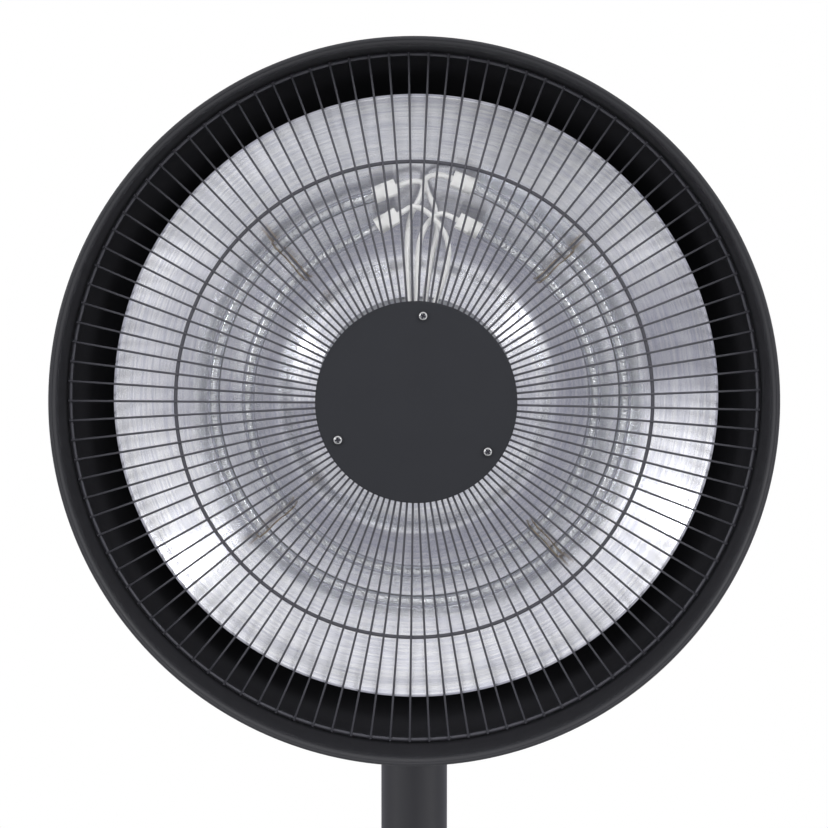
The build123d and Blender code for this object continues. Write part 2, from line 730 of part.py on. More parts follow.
def make_grille():
    """Spokes laid on three rings and welded at every crossing into one wire guard."""
    inner = GRILLE_INNER - SPOKE_OVERRUN
    outer = GRILLE_OUTER + SPOKE_OVERRUN
    spoke = prism((inner, spoke_depth(inner), 0), (outer, spoke_depth(outer), 0), SPOKE_R,
                  SPOKE_SIDES)
    spokes = [clocked(spoke, a - 90) for a in around(SPOKES, SPOKE_CLOCK)]
    rings = [grille_ring(*ring_middle(r)) for r in (GRILLE_OUTER, GRILLE_MIDDLE, GRILLE_INNER)]
    return in_head(rings[0].fuse(*rings[1:], *spokes))


def make_cover_disc():
    """A shallow pressed cap whose turned-down edge holds the spokes."""
    back = spoke_depth(DISC_R) - SPOKE_R - SEAT_GAP
    inner = DISC_R - DISC_SHEET
    outline = [(0, DISC_DEPTH), (DISC_R - DISC_EDGE, DISC_DEPTH), (DISC_R, DISC_DEPTH + DISC_EDGE)]
    outline += [(DISC_R, back), (inner, back), (inner, DISC_DEPTH + DISC_SHEET)]
    disc = spun(*outline, (0, DISC_DEPTH + DISC_SHEET))
    for spot in cover_screw_spots():
        disc -= spot * rod((0, DISC_DEPTH - 1, 0), (0, DISC_DEPTH + 5, 0), M4_R)
    return in_head(disc)


def make_cover_screws():
    length = hub_lip_depth() + HUB_SHEET + 3 - DISC_DEPTH
    seats = [spot * Pos(0, DISC_DEPTH, 0) for spot in cover_screw_spots()]
    return in_head(group(seat * pan_screw(length, COVER_HEAD_R, COVER_HEAD_HEIGHT) for seat in seats))


# ------------------------------------------------------------------ heating tubes
def tube_place(tube, clock):
    """A place (x, z) on a tube's middle line, at a clock angle about the ring's own middle."""
    reach_r, middle, ends = tube
    for cap_clock, opens, reach in ends:
        past = (opens - clock) / (opens - cap_clock)
        reach_r += reach * max(0.0, past) ** 2
    angle = math.radians(clock)
    return middle[0] + reach_r * math.sin(angle), middle[1] + reach_r * math.cos(angle)


def tube_slope(tube, clock):
    """The direction (x, z) in which a tube's middle line runs clockwise at a clock angle."""
    before = tube_place(tube, clock - 0.5)
    after = tube_place(tube, clock + 0.5)
    run = math.dist(before, after)
    return (after[0] - before[0]) / run, (after[1] - before[1]) / run


def tube_span(tube):
    """The clock angles of a tube's two ends, inside the end caps."""
    ring_r, _, ends = tube
    short = math.degrees((CAP_LENGTH / 2 - CAP_HOLD + SEAT_GAP) / ring_r)
    return ends[0][0] + short, ends[1][0] - short


def ring_bar(tube, radius, sides, overrun=0.0):
    """A bar along a tube's middle line in straight chords, with a short chord at each end."""
    start, end = tube_span(tube)
    step = (end - start - 2 * END_CHORD) / TUBE_CHORDS
    clocks = [start + END_CHORD + step * i for i in range(TUBE_CHORDS + 1)]
    clocks = [start - overrun] + clocks + [end + overrun]
    knots = [(x, TUBE_DEPTH, z) for x, z in (tube_place(tube, clock) for clock in clocks)]
    route = Polyline(*knots)
    section = RegularPolygon(even_radius(radius, sides), sides)
    return sweep(Plane(origin=route @ 0, x_dir=(0, 1, 0), z_dir=route % 0) * section, path=route,
                 transition=Transition.RIGHT)


def make_tube(tube):
    return in_head(ring_bar(tube, TUBE_R, TUBE_SIDES) - ring_bar(tube, TUBE_BORE, TUBE_SIDES, 1.0))


def make_filament(tube):
    """The wound wire's outer shape: its turns are too fine and too many to draw one by one."""
    return in_head(ring_bar(tube, FILAMENT_R, 4))


def cap_places():
    """The middle (x, z) of each end cap, and the direction from its lead side to its tube side."""
    places = []
    for tube in (OUTER_TUBE, INNER_TUBE):
        for (cap_clock, _, _), side in zip(tube[2], (1, -1)):
            way_x, way_z = tube_slope(tube, cap_clock)
            places.append((tube_place(tube, cap_clock), (side * way_x, side * way_z)))
    return places


def make_tube_caps():
    """Steatite caps: a square block on the lead's side and a round collar over the glass."""
    body = Pos((CAP_BLOCK - CAP_LENGTH) / 2, 0, 0) * Box(CAP_BLOCK, CAP_DEEP, CAP_WIDTH)
    body = chamfer(body.edges().filter_by(Axis.X), CAP_CHAMFER)
    mouth = CAP_LENGTH / 2
    body += rod((0, 0, 0), (mouth, 0, 0), CAP_COLLAR_R)
    body -= rod((mouth + 1, 0, 0), (mouth - CAP_HOLD, 0, 0), CAP_BORE)
    caps = []
    for (x, z), (way_x, way_z) in cap_places():
        seat = Plane(origin=(x, TUBE_DEPTH, z), x_dir=(way_x, 0, way_z), z_dir=(-way_z, 0, way_x))
        caps.append(seat.location * body)
    return in_head(group(caps))


def dish_depth(radius):
    """Depth of the reflector's front face at a radius."""
    steps = [(REFLECTOR_R - REFLECTOR_FLANGE, REFLECTOR_DEPTH)] + DISH_STEPS
    steps.append((HUB_SEAT_R, HUB_SEAT_DEPTH))
    for (far_r, far_d), (near_r, near_d) in zip(steps, steps[1:]):
        if near_r <= radius <= far_r:
            return near_d + (far_d - near_d) * (radius - near_r) / (far_r - near_r)
    return HUB_SEAT_DEPTH


def tube_radius_at(tube, clock):
    """Distance from the head's axis to a tube's ring, at a clock angle about that axis."""
    ring_r, (x, z), _ = tube
    angle = math.radians(clock)
    along = x * math.sin(angle) + z * math.cos(angle)
    across = x * math.cos(angle) - z * math.sin(angle)
    return along + math.sqrt(ring_r ** 2 - across ** 2)


def spring_clip(clock):
    """A spring-wire hairpin: each leg waves over both tubes and stands on the dish."""
    hug = TUBE_R * 1.13 + SUPPORT_CLEAR + SUPPORT_WIRE_R
    outer_r = tube_radius_at(OUTER_TUBE, clock)
    inner_r = tube_radius_at(INNER_TUBE, clock)
    dip = TUBE_DEPTH + hug * 0.8
    far = outer_r + hug
    near = inner_r - hug
    waves = []
    for ring_r in (outer_r, inner_r):
        wave = [(ring_r + hug, TUBE_DEPTH - hug * 0.42), (ring_r + hug * 0.42, TUBE_DEPTH - hug)]
        wave += [(ring_r - hug * 0.42, TUBE_DEPTH - hug), (ring_r - hug, TUBE_DEPTH - hug * 0.42)]
        waves.append(wave)
    line = [(far, dish_depth(far) - SUPPORT_CLEAR)] + waves[0]
    line += [(outer_r - hug - 1.5, dip), (inner_r + hug + 1.5, dip)]
    line += waves[1] + [(near, dish_depth(near) - SUPPORT_CLEAR)]
    section = RegularPolygon(even_radius(SUPPORT_WIRE_R, 5), 5)
    bridge_depth = dish_depth(far) - 3.0
    clip = prism((-SUPPORT_LEGS, bridge_depth, far), (SUPPORT_LEGS, bridge_depth, far), SUPPORT_WIRE_R, 5)
    for side in (-1, 1):
        route = Polyline(*[(side * SUPPORT_LEGS, depth, radius) for radius, depth in line])
        clip += sweep(Plane(origin=route @ 0, z_dir=route % 0) * section, path=route,
                      transition=Transition.RIGHT)
    return clocked(clip, clock)


def make_tube_supports():
    return in_head(group(spring_clip(clock) for clock in SUPPORT_CLOCKS))


# ------------------------------------------------------------------ leads, terminal block, wiring
def lead_points(cap, rest):
    """A lead's route: straight out of its cap, then through chosen points to the block."""
    (x, z), (way_x, way_z) = cap
    points = []
    for reach in (CAP_LENGTH / 2, CAP_LENGTH / 2 + LEAD_OUT):
        points.append((x - way_x * reach, TUBE_DEPTH, z - way_z * reach))
    return points + rest + [(rest[-1][0], rest[-1][1], BLOCK_Z[1])]


# Chosen by hand after the photograph, as (x, depth, z) in the head's axes.
LEAD_OUTER_RIGHT = [(12.5, 72.0, 134.3), (6.0, 74.5, 132.0), (8.0, 75.3, 123.5), (13.5, 76.0, 113.0),
                    (14.0, 76.0, 98.0), (9.5, 75.0, 80.0), (5.5, 73.0, 52.0)]
LEAD_OUTER_LEFT = [(0.0, 70.3, 130.5), (6.2, 71.0, 129.5), (4.6, 72.5, 122.0), (-3.5, 74.5, 108.0),
                   (-4.3, 74.5, 90.0), (-3.8, 73.5, 70.0), (-2.5, 72.0, 50.0)]
LEAD_INNER_RIGHT = [(16.0, 70.2, 111.5), (8.5, 70.5, 106.5), (3.0, 70.8, 95.0), (1.5, 70.2, 78.0),
                    (1.8, 69.0, 52.0)]
LEAD_INNER_LEFT = [(-1.0, 67.5, 115.5), (6.0, 66.0, 113.5), (15.5, 66.0, 104.5), (21.5, 66.5, 92.0),
                   (19.5, 67.3, 74.0), (9.8, 68.5, 52.0)]


def make_heater_leads():
    leads = []
    routes = (LEAD_OUTER_RIGHT, LEAD_OUTER_LEFT, LEAD_INNER_RIGHT, LEAD_INNER_LEFT)
    for index, (cap, route) in enumerate(zip(cap_places(), routes)):
        points = lead_points(cap, route)
        leads.append(wire_along(points, LEAD_R, LEAD_SIDES, f"heater lead {index + 1}"))
    return in_head(group(leads))


def make_ceramic_block():
    floor = HUB_SEAT_DEPTH - HUB_SHEET
    return in_head(block(BLOCK_X, (floor - BLOCK_DEEP, floor), BLOCK_Z))


def make_wire_harness():
    """Wires from the heat-proof block through the conduit to the switches and the mains block."""
    start_depth = HUB_SEAT_DEPTH - HUB_SHEET - 8
    switch_front = HOUSING_REAR - SWITCH_DEEP
    top = BLOCK_Z[0]
    wires = []
    for side in (-1, 1):
        lane = side * 4.0
        points = [(lane, start_depth, top), (lane, start_depth, top - 5), (lane, start_depth + 8, top - 11),
                  (lane, SHELL_DEPTH - 12, top - 12), (lane * 1.2, SHELL_DEPTH + 9, 4),
                  (side * SWITCH_X, SHELL_DEPTH + 11, SWITCH_Z), (side * SWITCH_X, switch_front, SWITCH_Z)]
        wires.append(wire_along(points, WIRE_R, WIRE_SIDES, f"switch wire {side}"))
    block_top = MAINS_BLOCK_Z + MAINS_BLOCK[2] / 2
    points = [(0, start_depth, top), (0, start_depth, top - 5), (0, start_depth + 8, top - 13),
              (0, SHELL_DEPTH - 12, top - 16), (2, SHELL_DEPTH + 8, -4),
              (MAINS_BLOCK_X, SHELL_DEPTH + 8, -6), (MAINS_BLOCK_X, SHELL_DEPTH + 8, block_top)]
    wires.append(wire_along(points, WIRE_R, WIRE_SIDES, "neutral wire"))
    return in_head(group(wires))


# ------------------------------------------------------------------ housing on the back of the shell
def gland_seat_z():
    """The flat inner end of the gland's pad, where its lock nut sits."""
    return 10 - HOUSING_REAR_R


def make_rear_housing():
    front = SHELL_DEPTH
    rear = HOUSING_REAR
    wall = HOUSING_WALL
    cut = HOUSING_CHAMFER
    outline = [(HOUSING_R, front), (HOUSING_REAR_R, rear - cut), (HOUSING_REAR_R - cut, rear), (0, rear)]
    outline += [(0, rear - wall), (HOUSING_REAR_R - cut - wall, rear - wall)]
    outline += [(HOUSING_REAR_R - wall, rear - wall - cut), (HOUSING_R - wall, front)]
    body = spun(*outline)
    eye = Pos(PIVOT_DEPTH, 0) * Circle(LUG_R)
    root = Pos(rear - wall / 2, 0) * Rectangle(wall, 2 * LUG_ROOT)
    lug = Plane.YZ * make_hull(eye.edges() + root.edges())
    body += Pos(-LUG_HALF, 0, 0) * extrude(lug, 2 * LUG_HALF)
    for spot in housing_screw_spots():
        body += spot * prism((0, front, 0), (0, rear - wall / 2, 0), HOUSING_BOSS_R, 6)
    body += rod((0, GLAND_DEPTH, gland_seat_z()), (0, GLAND_DEPTH, -GLAND_PAD_Z), GLAND_PAD_R)
    for spot in housing_screw_spots():
        body -= spot * rod((0, front - 1, 0), (0, front + 16, 0), M4_R)
    body -= rod((0, GLAND_DEPTH, gland_seat_z() + 9), (0, GLAND_DEPTH, -GLAND_PAD_Z - 1), GLAND_THREAD_R)
    body -= rod((-LUG_HALF - 1, PIVOT_DEPTH, 0), (LUG_HALF + 1, PIVOT_DEPTH, 0), BOLT_R + RUN_FIT)
    half_w = SWITCH_WIDTH / 2 + SET_FIT
    half_h = SWITCH_HEIGHT / 2 + SET_FIT
    for side in (-1, 1):
        middle = side * SWITCH_X
        body -= block((middle - half_w, middle + half_w), (rear - wall - 9, rear + 1),
                      (SWITCH_Z - half_h, SWITCH_Z + half_h))
    return in_head(body)


def make_housing_screws():
    seat = SHELL_DEPTH - SHEET
    return in_head(group(spot * Pos(0, seat, 0) * hex_screw(14) for spot in housing_screw_spots()))


def make_cable_gland():
    top = -GLAND_PAD_Z
    way = Plane(origin=(0, GLAND_DEPTH, top), z_dir=(0, 0, -1))
    body = extrude(way * RegularPolygon(GLAND_HEX_R, 6), GLAND_HEX)
    low = top - GLAND_HEX
    dome = [(0, low), (GLAND_DOME_R, low), (GLAND_DOME_R, low - GLAND_DOME * 0.6)]
    dome += [(GLAND_BORE_R + 2.5, low - GLAND_DOME), (0, low - GLAND_DOME)]
    body += Pos(0, GLAND_DEPTH, 0) * turned(*dome)
    inner_end = gland_seat_z() + GLAND_NUT + 1
    body += rod((0, GLAND_DEPTH, top), (0, GLAND_DEPTH, inner_end), GLAND_THREAD_R - SET_FIT)
    return in_head(body - rod((0, GLAND_DEPTH, inner_end + 1), (0, GLAND_DEPTH, low - 20), GLAND_BORE_R))


def make_gland_nut():
    """The lock nut inside the housing, on the gland pad's inner end."""
    nut = Plane(origin=(0, GLAND_DEPTH, gland_seat_z()), z_dir=(0, 0, 1))
    return in_head(extrude(nut * (RegularPolygon(GLAND_NUT_R, 6) - Circle(GLAND_THREAD_R)), GLAND_NUT))


def switch_pivot_depth():
    return HOUSING_REAR + BEZEL - 1.0


def make_switch_bodies():
    bodies = []
    pocket_r = ROCKER_SWEEP_R + ROCKER_GAP
    half_w = ROCKER_HALF_WIDTH + ROCKER_GAP
    for side in (-1, 1):
        x = side * SWITCH_X
        wide = SWITCH_WIDTH / 2
        tall = SWITCH_HEIGHT / 2
        rear = HOUSING_REAR
        body = block((x - wide, x + wide), (rear - SWITCH_DEEP, rear), (-tall, tall))
        body += block((x - wide - BEZEL_RIM, x + wide + BEZEL_RIM), (rear, rear + BEZEL),
                      (-tall - BEZEL_RIM, tall + BEZEL_RIM))
        depth = switch_pivot_depth()
        body -= rod((x - half_w, depth, 0), (x + half_w, depth, 0), pocket_r)
        bodies.append(Pos(0, 0, SWITCH_Z) * body)
    return in_head(group(bodies))


def make_rocker(side):
    """A rocker with a dished face, at rest pressed in at the lower end."""
    back = 3.0
    crest = 2.2
    tip = 4.6
    sweep_r = ROCKER_SWEEP_R
    drum = Circle(sweep_r)
    keep = Polyline((-back, -sweep_r), (tip, -sweep_r), (crest, 0), (tip, sweep_r), (-back, sweep_r),
                    close=True)
    face = drum & make_face(keep)
    body = Pos(-ROCKER_HALF_WIDTH, 0, 0) * extrude(Plane.YZ * face, 2 * ROCKER_HALF_WIDTH)
    place = Pos(side * SWITCH_X, switch_pivot_depth(), SWITCH_Z) * Rot(-ROCKER_REST, 0, 0)
    return in_head(place * body)


def make_mains_block():
    length, deep, tall = MAINS_BLOCK
    z = (MAINS_BLOCK_Z - tall / 2, MAINS_BLOCK_Z + tall / 2)
    x = (MAINS_BLOCK_X - length / 2, MAINS_BLOCK_X + length / 2)
    return in_head(block(x, (SHELL_DEPTH, SHELL_DEPTH + deep), z))


def make_tip_switch():
    x = (TIP_SWITCH_X - TIP_SWITCH / 2, TIP_SWITCH_X + TIP_SWITCH / 2)
    z = (TIP_SWITCH_Z - TIP_SWITCH / 2, TIP_SWITCH_Z + TIP_SWITCH / 2)
    return in_head(block(x, (SHELL_DEPTH, SHELL_DEPTH + TIP_SWITCH), z))


# ------------------------------------------------------------------ all nodes
NODES = {
    "floor_pad": make_floor_pad(),
    "base_plate": make_base_plate(),
    "pole_socket": make_pole_socket(),
    "socket_screws": make_socket_screws(),
    "socket_set_screws": make_set_screws(),
    "lower_pole": make_lower_pole(),
    "collar_bush": make_collar_bush(),
    "pole_collar": make_pole_collar(),
    "height_knob": make_height_knob(),
    "height_stud": make_height_stud(),
    "upper_pole": make_upper_pole(),
    "pole_glide": make_pole_glide(),
    "pole_yoke": make_pole_yoke(),
    "yoke_screws": make_yoke_screws(),
    "tilt_bolt": make_tilt_bolt(),
    "tilt_washers": make_tilt_washers(),
    "tilt_knob": make_tilt_knob(),
    "tilt_knob_insert": make_tilt_insert(),
    "head_shell": make_head_shell(),
    "reflector": make_reflector(),
    "reflector_spacers": make_reflector_spacers(),
    "hub_cup": make_hub_cup(),
    "hub_screws": make_hub_screws(),
    "hub_nuts": make_hub_nuts(),
    "wire_conduit": make_wire_conduit(),
    "grille": make_grille(),
    "cover_disc": make_cover_disc(),
    "cover_screws": make_cover_screws(),
    "outer_tube": make_tube(OUTER_TUBE),
    "inner_tube": make_tube(INNER_TUBE),
    "outer_filament": make_filament(OUTER_TUBE),
    "inner_filament": make_filament(INNER_TUBE),
    "tube_caps": make_tube_caps(),
    "tube_supports": make_tube_supports(),
    "heater_leads": make_heater_leads(),
    "ceramic_block": make_ceramic_block(),
    "wire_harness": make_wire_harness(),
    "rear_housing": make_rear_housing(),
    "housing_screws": make_housing_screws(),
    "cable_gland": make_cable_gland(),
    "gland_nut": make_gland_nut(),
    "switch_bodies": make_switch_bodies(),
    "rocker_low": make_rocker(-1),
    "rocker_high": make_rocker(1),
    "mains_block": make_mains_block(),
    "tip_switch": make_tip_switch(),
}

for name, shape in NODES.items():
    export_step(shape, f"parts/{name}.step")
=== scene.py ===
# %% [markdown]
# # An infrared patio heater, dressed piece by piece
#
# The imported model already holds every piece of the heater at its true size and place. This
# lesson lays the looks over it: round pieces are spun, wires are swept, castings are copied from
# the model and softened at their edges, and each finish is a small node tree.
#
# Everything is in metres. The heater stands on the floor at the origin, +Z is up, and the head
# faces -Y.

# %% Load the frame
import json
import math

import bpy
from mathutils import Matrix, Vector

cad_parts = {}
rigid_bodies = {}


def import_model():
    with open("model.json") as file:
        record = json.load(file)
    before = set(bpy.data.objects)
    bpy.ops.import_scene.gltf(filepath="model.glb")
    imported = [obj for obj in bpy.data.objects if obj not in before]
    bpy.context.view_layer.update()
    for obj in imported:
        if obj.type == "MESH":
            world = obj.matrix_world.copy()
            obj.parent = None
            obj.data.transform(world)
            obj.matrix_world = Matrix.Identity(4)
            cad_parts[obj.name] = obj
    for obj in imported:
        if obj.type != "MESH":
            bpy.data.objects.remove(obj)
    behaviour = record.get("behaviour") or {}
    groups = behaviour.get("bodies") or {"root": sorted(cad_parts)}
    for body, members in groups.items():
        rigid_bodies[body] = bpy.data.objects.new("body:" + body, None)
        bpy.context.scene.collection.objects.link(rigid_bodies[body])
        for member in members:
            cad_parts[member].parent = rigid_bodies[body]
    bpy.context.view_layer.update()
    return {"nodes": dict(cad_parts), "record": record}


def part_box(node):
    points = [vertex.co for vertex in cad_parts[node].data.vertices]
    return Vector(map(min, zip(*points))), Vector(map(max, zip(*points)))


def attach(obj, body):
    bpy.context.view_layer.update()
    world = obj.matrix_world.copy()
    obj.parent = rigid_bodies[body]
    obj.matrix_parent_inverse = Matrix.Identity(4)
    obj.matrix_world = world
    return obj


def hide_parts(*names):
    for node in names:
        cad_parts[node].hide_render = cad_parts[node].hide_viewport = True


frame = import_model()

# %% [markdown]
# ## Where the main axes run
#
# Two axes carry nearly every round piece: the head's own axis, which points back from the rim,
# and the pole's axis. They could be typed in as numbers. The head's axis is placed from the
# imported model instead, so that a change of size in the model moves the looks with it; the pole's
# axis runs up from the origin.

# %% Axes
MM = 0.001
shell_low, shell_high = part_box("head_shell")
RIM_Y = shell_low[1]
HEAD_Z = (shell_low[2] + shell_high[2]) / 2

HEAD_AXIS = {
    "at": Vector((0, RIM_Y, HEAD_Z)),
    "along": Vector((0, 1, 0)),
    "out": Vector((0, 0, 1)),
}
POLE_AXIS = {
    "at": Vector((0, 0, 0)),
    "along": Vector((0, 0, 1)),
    "out": Vector((1, 0, 0)),
}
print(f"rim plane y {RIM_Y:.4f}, head axis z {HEAD_Z:.4f}")

# %% [markdown]
# ## The camera
#
# The photograph looks at the head almost square-on from about one and a half metres, a few
# degrees above the head's axis. A camera could be moved by eye until the picture fits. Here it is
# set by that distance and that angle, so that each can be corrected on its own. The rim's middle
# sits a little above the middle of the picture, so the camera aims a little below it.

# %% Camera
VIEW_DISTANCE = 1.5
VIEW_ABOVE_DEG = 4.2
VIEW_REACH = 60.0
LENS = 112.44
SENSOR_WIDTH = 36.0
AIM_BELOW_RIM = 5.21 * MM
CAMERA_LEFT = 0.12 * MM

camera = bpy.data.objects.new("camera", bpy.data.cameras.new("camera"))
bpy.context.scene.collection.objects.link(camera)
bpy.context.scene.camera = camera
camera.data.lens = LENS
camera.data.sensor_width = SENSOR_WIDTH
camera.data.clip_end = VIEW_REACH
above = math.radians(VIEW_ABOVE_DEG)
rim_middle = HEAD_AXIS["at"]
aside = Vector((-CAMERA_LEFT, 0, 0))
towards_camera = Vector((0, -math.cos(above), math.sin(above)))
camera.location = rim_middle + aside + VIEW_DISTANCE * towards_camera
aim = rim_middle + aside - Vector((0, 0, AIM_BELOW_RIM))
camera.rotation_euler = (aim - camera.location).to_track_quat("-Z", "Y").to_euler()
print("camera at", [round(v, 3) for v in camera.location])

# %% [markdown]
# ## Helpers for node trees
#
# The studio and the finishes are built from the same few nodes. In the node editor each would be
# added and joined by hand. A short function for each kind does the same here and keeps the steps
# below readable: it adds one node, joins or sets its inputs, and hands back its output.

# %% Numbers and vectors
def feed(tree, socket, value):
    """Joins another node's output to a socket, or writes a plain value into it."""
    if isinstance(value, bpy.types.NodeSocket):
        tree.links.new(value, socket)
    else:
        socket.default_value = value


def maths(tree, operation, *values):
    """What a Math node makes of its values, for instance their sum with ADD."""
    node = tree.nodes.new("ShaderNodeMath")
    node.operation = operation
    for socket, value in zip(node.inputs, values):
        feed(tree, socket, value)
    return node.outputs["Value"]


def vector_maths(tree, operation, *values, gives="Vector"):
    """What a Vector Math node makes of its values; a length or a distance gives a Value."""
    node = tree.nodes.new("ShaderNodeVectorMath")
    node.operation = operation
    for socket, value in zip(node.inputs, values):
        feed(tree, socket, value)
    return node.outputs[gives]


print("helpers for numbers and vectors ready")


# %% Ranges and mixes
def ranged(tree, value, source, target, smooth=False):
    """Carries a value from one range to another and holds it at the ends."""
    node = tree.nodes.new("ShaderNodeMapRange")
    if smooth:
        node.interpolation_type = "SMOOTHSTEP"
    node.inputs["From Min"].default_value, node.inputs["From Max"].default_value = source
    node.inputs["To Min"].default_value, node.inputs["To Max"].default_value = target
    tree.links.new(value, node.inputs["Value"])
    return node.outputs["Result"]


def blended(tree, share, first, second):
    """A colour between two others: the first at a share of 0, the second at a share of 1."""
    node = tree.nodes.new("ShaderNodeMix")
    node.data_type = "RGBA"
    node.inputs["A"].default_value = (*first, 1)
    node.inputs["B"].default_value = (*second, 1)
    tree.links.new(share, node.inputs["Factor"])
    return node.outputs["Result"]


def mixed_shader(tree, share, first, second):
    """A mix of two shaders: the first at a share of 0, the second at a share of 1."""
    node = tree.nodes.new("ShaderNodeMixShader")
    for socket, output in zip(node.inputs, (share, first, second)):
        tree.links.new(output, socket)
    return node.outputs[0]


print("helpers for ranges and mixes ready")

# %% [markdown]
# ## Studio
#
# A polished dish shows whatever stands in front of it. The photographer's room was white behind
# the heater, dim and bluish round the camera, and lit by large soft panels. Such a room could be
# built of glowing planes. Here it is painted on the world, where nothing can stand in the way of
# the camera: each panel is a soft round patch of sky, given by its clock angle and its angle off
# the head's axis. A patch that takes light away stands for something dark in the room.

# %% World and its panels
WHITE = (1, 1, 1)
SKY_LIGHT = 0.42
BACKDROP_LIGHT = 1.0
FRONT_DIM = 0.43
SIDE_LIGHT = 1.00
BACK_LIGHT = 0.50
PANELS = [
    # clock angle, angle off the head's axis, angular radius, added light
    (288.0, 50.0, 18.0, 0.50),
    (60.0, 43.0, 18.0, 0.24),
    (0.0, 28.0, 22.0, 0.20),
    (180.0, 24.0, 9.0, -0.20),
    (132.0, 62.0, 16.0, 0.30),
    (254.0, 50.0, 13.0, -0.50),
    (208.0, 55.0, 16.0, -0.30),
    (160.0, 56.0, 14.0, -0.28),
    (105.0, 44.0, 14.0, -0.15),
]

world = bpy.data.worlds.new("studio")
bpy.context.scene.world = world
world.use_nodes = True
sky = world.node_tree
sky.nodes.clear()
seen_by = sky.nodes.new("ShaderNodeLightPath")
facing = sky.nodes.new("ShaderNodeTexCoord").outputs["Generated"]
print("panels:", len(PANELS))

# %% A soft patch of sky
PATCH_FULL_WITHIN = 0.45
PATCH_GONE_BEYOND = 1.25


def patch_of_sky(clock, off_axis, radius, light):
    """Light that fades from the middle of a round patch of sky to its edge."""
    turn, off = math.radians(clock), math.radians(off_axis)
    middle = (math.sin(off) * math.sin(turn), -math.cos(off), math.sin(off) * math.cos(turn))
    nearness = vector_maths(sky, "DOT_PRODUCT", facing, middle, gives="Value")
    gone = math.cos(math.radians(radius * PATCH_GONE_BEYOND))
    full = math.cos(math.radians(radius * PATCH_FULL_WITHIN))
    return ranged(sky, nearness, (gone, full), (0.0, light), smooth=True)


print("a patch fades from", PATCH_FULL_WITHIN, "to", PATCH_GONE_BEYOND, "of its radius")

# %% [markdown]
# Mirrors and glass see a dim front that grows lighter with the angle from the camera's direction
# and fades again behind the heater. The panels are added to it one by one. The dimmer a place
# is, the bluer its light, as in the corners of a white room by day.

# %% The sky that mirrors see
FRONT_RAMP = (-0.995, -0.62)
BACK_RAMP = (-0.42, 0.05)
DIM_TINT = (0.88, 0.885, 1.07)
LIT_TINT = (0.98, 0.985, 1.02)

direction = sky.nodes.new("ShaderNodeSeparateXYZ")
sky.links.new(facing, direction.inputs[0])
backwards = direction.outputs["Y"]
front_light = ranged(sky, backwards, FRONT_RAMP, (FRONT_DIM, SIDE_LIGHT))
back_light = ranged(sky, backwards, BACK_RAMP, (0.0, BACK_LIGHT - SIDE_LIGHT))
mirror_level = maths(sky, "ADD", front_light, back_light)
for panel in PANELS:
    mirror_level = maths(sky, "ADD", mirror_level, patch_of_sky(*panel))
mirror_tint = blended(sky, mirror_level, DIM_TINT, LIT_TINT)
print("nodes for the mirrors' sky:", len(sky.nodes))

# %% [markdown]
# Light Path tells rays apart, so each kind can have its own sky. Plain light falls evenly on the
# object, mirrors see the sky with its panels, and the camera sees white past the heater and
# through its glass. A single sky would either colour the black coats or leave the dish empty.

# %% One sky for each kind of ray
def background(colour, strength):
    """A sky of a colour and a strength, each plain or from another node."""
    node = sky.nodes.new("ShaderNodeBackground")
    feed(sky, node.inputs["Color"], colour)
    feed(sky, node.inputs["Strength"], strength)
    return node.outputs[0]


plain_sky = background((*WHITE, 1), SKY_LIGHT)
mirror_sky = background(mirror_tint, mirror_level)
backdrop = background((*WHITE, 1), BACKDROP_LIGHT)
seen_white = maths(sky, "ADD", seen_by.outputs["Is Camera Ray"],
                   seen_by.outputs["Is Transmission Ray"])
with_mirror = mixed_shader(sky, seen_by.outputs["Is Glossy Ray"], plain_sky, mirror_sky)
with_backdrop = mixed_shader(sky, seen_white, with_mirror, backdrop)
sky_out = sky.nodes.new("ShaderNodeOutputWorld")
sky.links.new(with_backdrop, sky_out.inputs["Surface"])
bpy.context.scene.view_settings.view_transform = "Standard"
print("world nodes:", len(sky.nodes))

# %% [markdown]
# The lamps give the soft shadows. Area lamps are used, because their size sets how soft a shadow
# is. Mirrors don't see them: they see the panels in their place. The two small glint lamps are
# the other way round, seen by mirrors alone, and give wires and screws their small bright points.


# %% Lamps
def lamp(name, place, size, power, tint=WHITE, glint=False):
    """A soft lamp that faces the head. A glint lamp is seen by mirrors and lights nothing else."""
    data = bpy.data.lights.new(name, "AREA")
    data.shape = "RECTANGLE"
    data.size, data.size_y = size
    data.energy = power
    data.color = tint
    light = bpy.data.objects.new(name, data)
    bpy.context.scene.collection.objects.link(light)
    light.location = place
    towards = rim_middle - light.location
    light.rotation_euler = towards.to_track_quat("-Z", "Y").to_euler()
    light.visible_glossy = glint
    light.visible_diffuse = not glint
    return light


COOL = (0.94, 0.96, 1.0)
lamps = [
    lamp("lamp_left", (-1.8, -1.7, 2.35), (0.8, 1.3), 22.0),
    lamp("lamp_right", (1.7, -1.7, 2.6), (0.8, 1.3), 23.0),
    lamp("lamp_above", (0.1, -1.7, 3.5), (1.6, 0.7), 17.0),
    lamp("lamp_low", (-0.6, -2.0, 0.25), (0.9, 0.5), 4.5, tint=COOL),
    lamp("lamp_behind", (1.5, 2.2, 2.9), (1.4, 1.4), 26.0),
    lamp("glint_left", (-1.46, -1.54, 2.25), (0.22, 0.22), 1.6, glint=True),
    lamp("glint_right", (1.30, -1.60, 2.50), (0.22, 0.22), 1.2, glint=True),
]
print("lamps:", [light.name for light in lamps])

# %% [markdown]
# ## Floor
#
# A pale disc of floor takes the heater's shadow. A lit plane alone would end in a grey line
# against the white background, so part of its light is its own, and more of it towards the edge.
# Only the camera and mirrors see that light, and the object keeps its plain lighting.

# %% Floor
FLOOR_R = 3.2
FLOOR_TONE = (0.88, 0.88, 0.88)
FLOOR_ROUGHNESS = 0.9

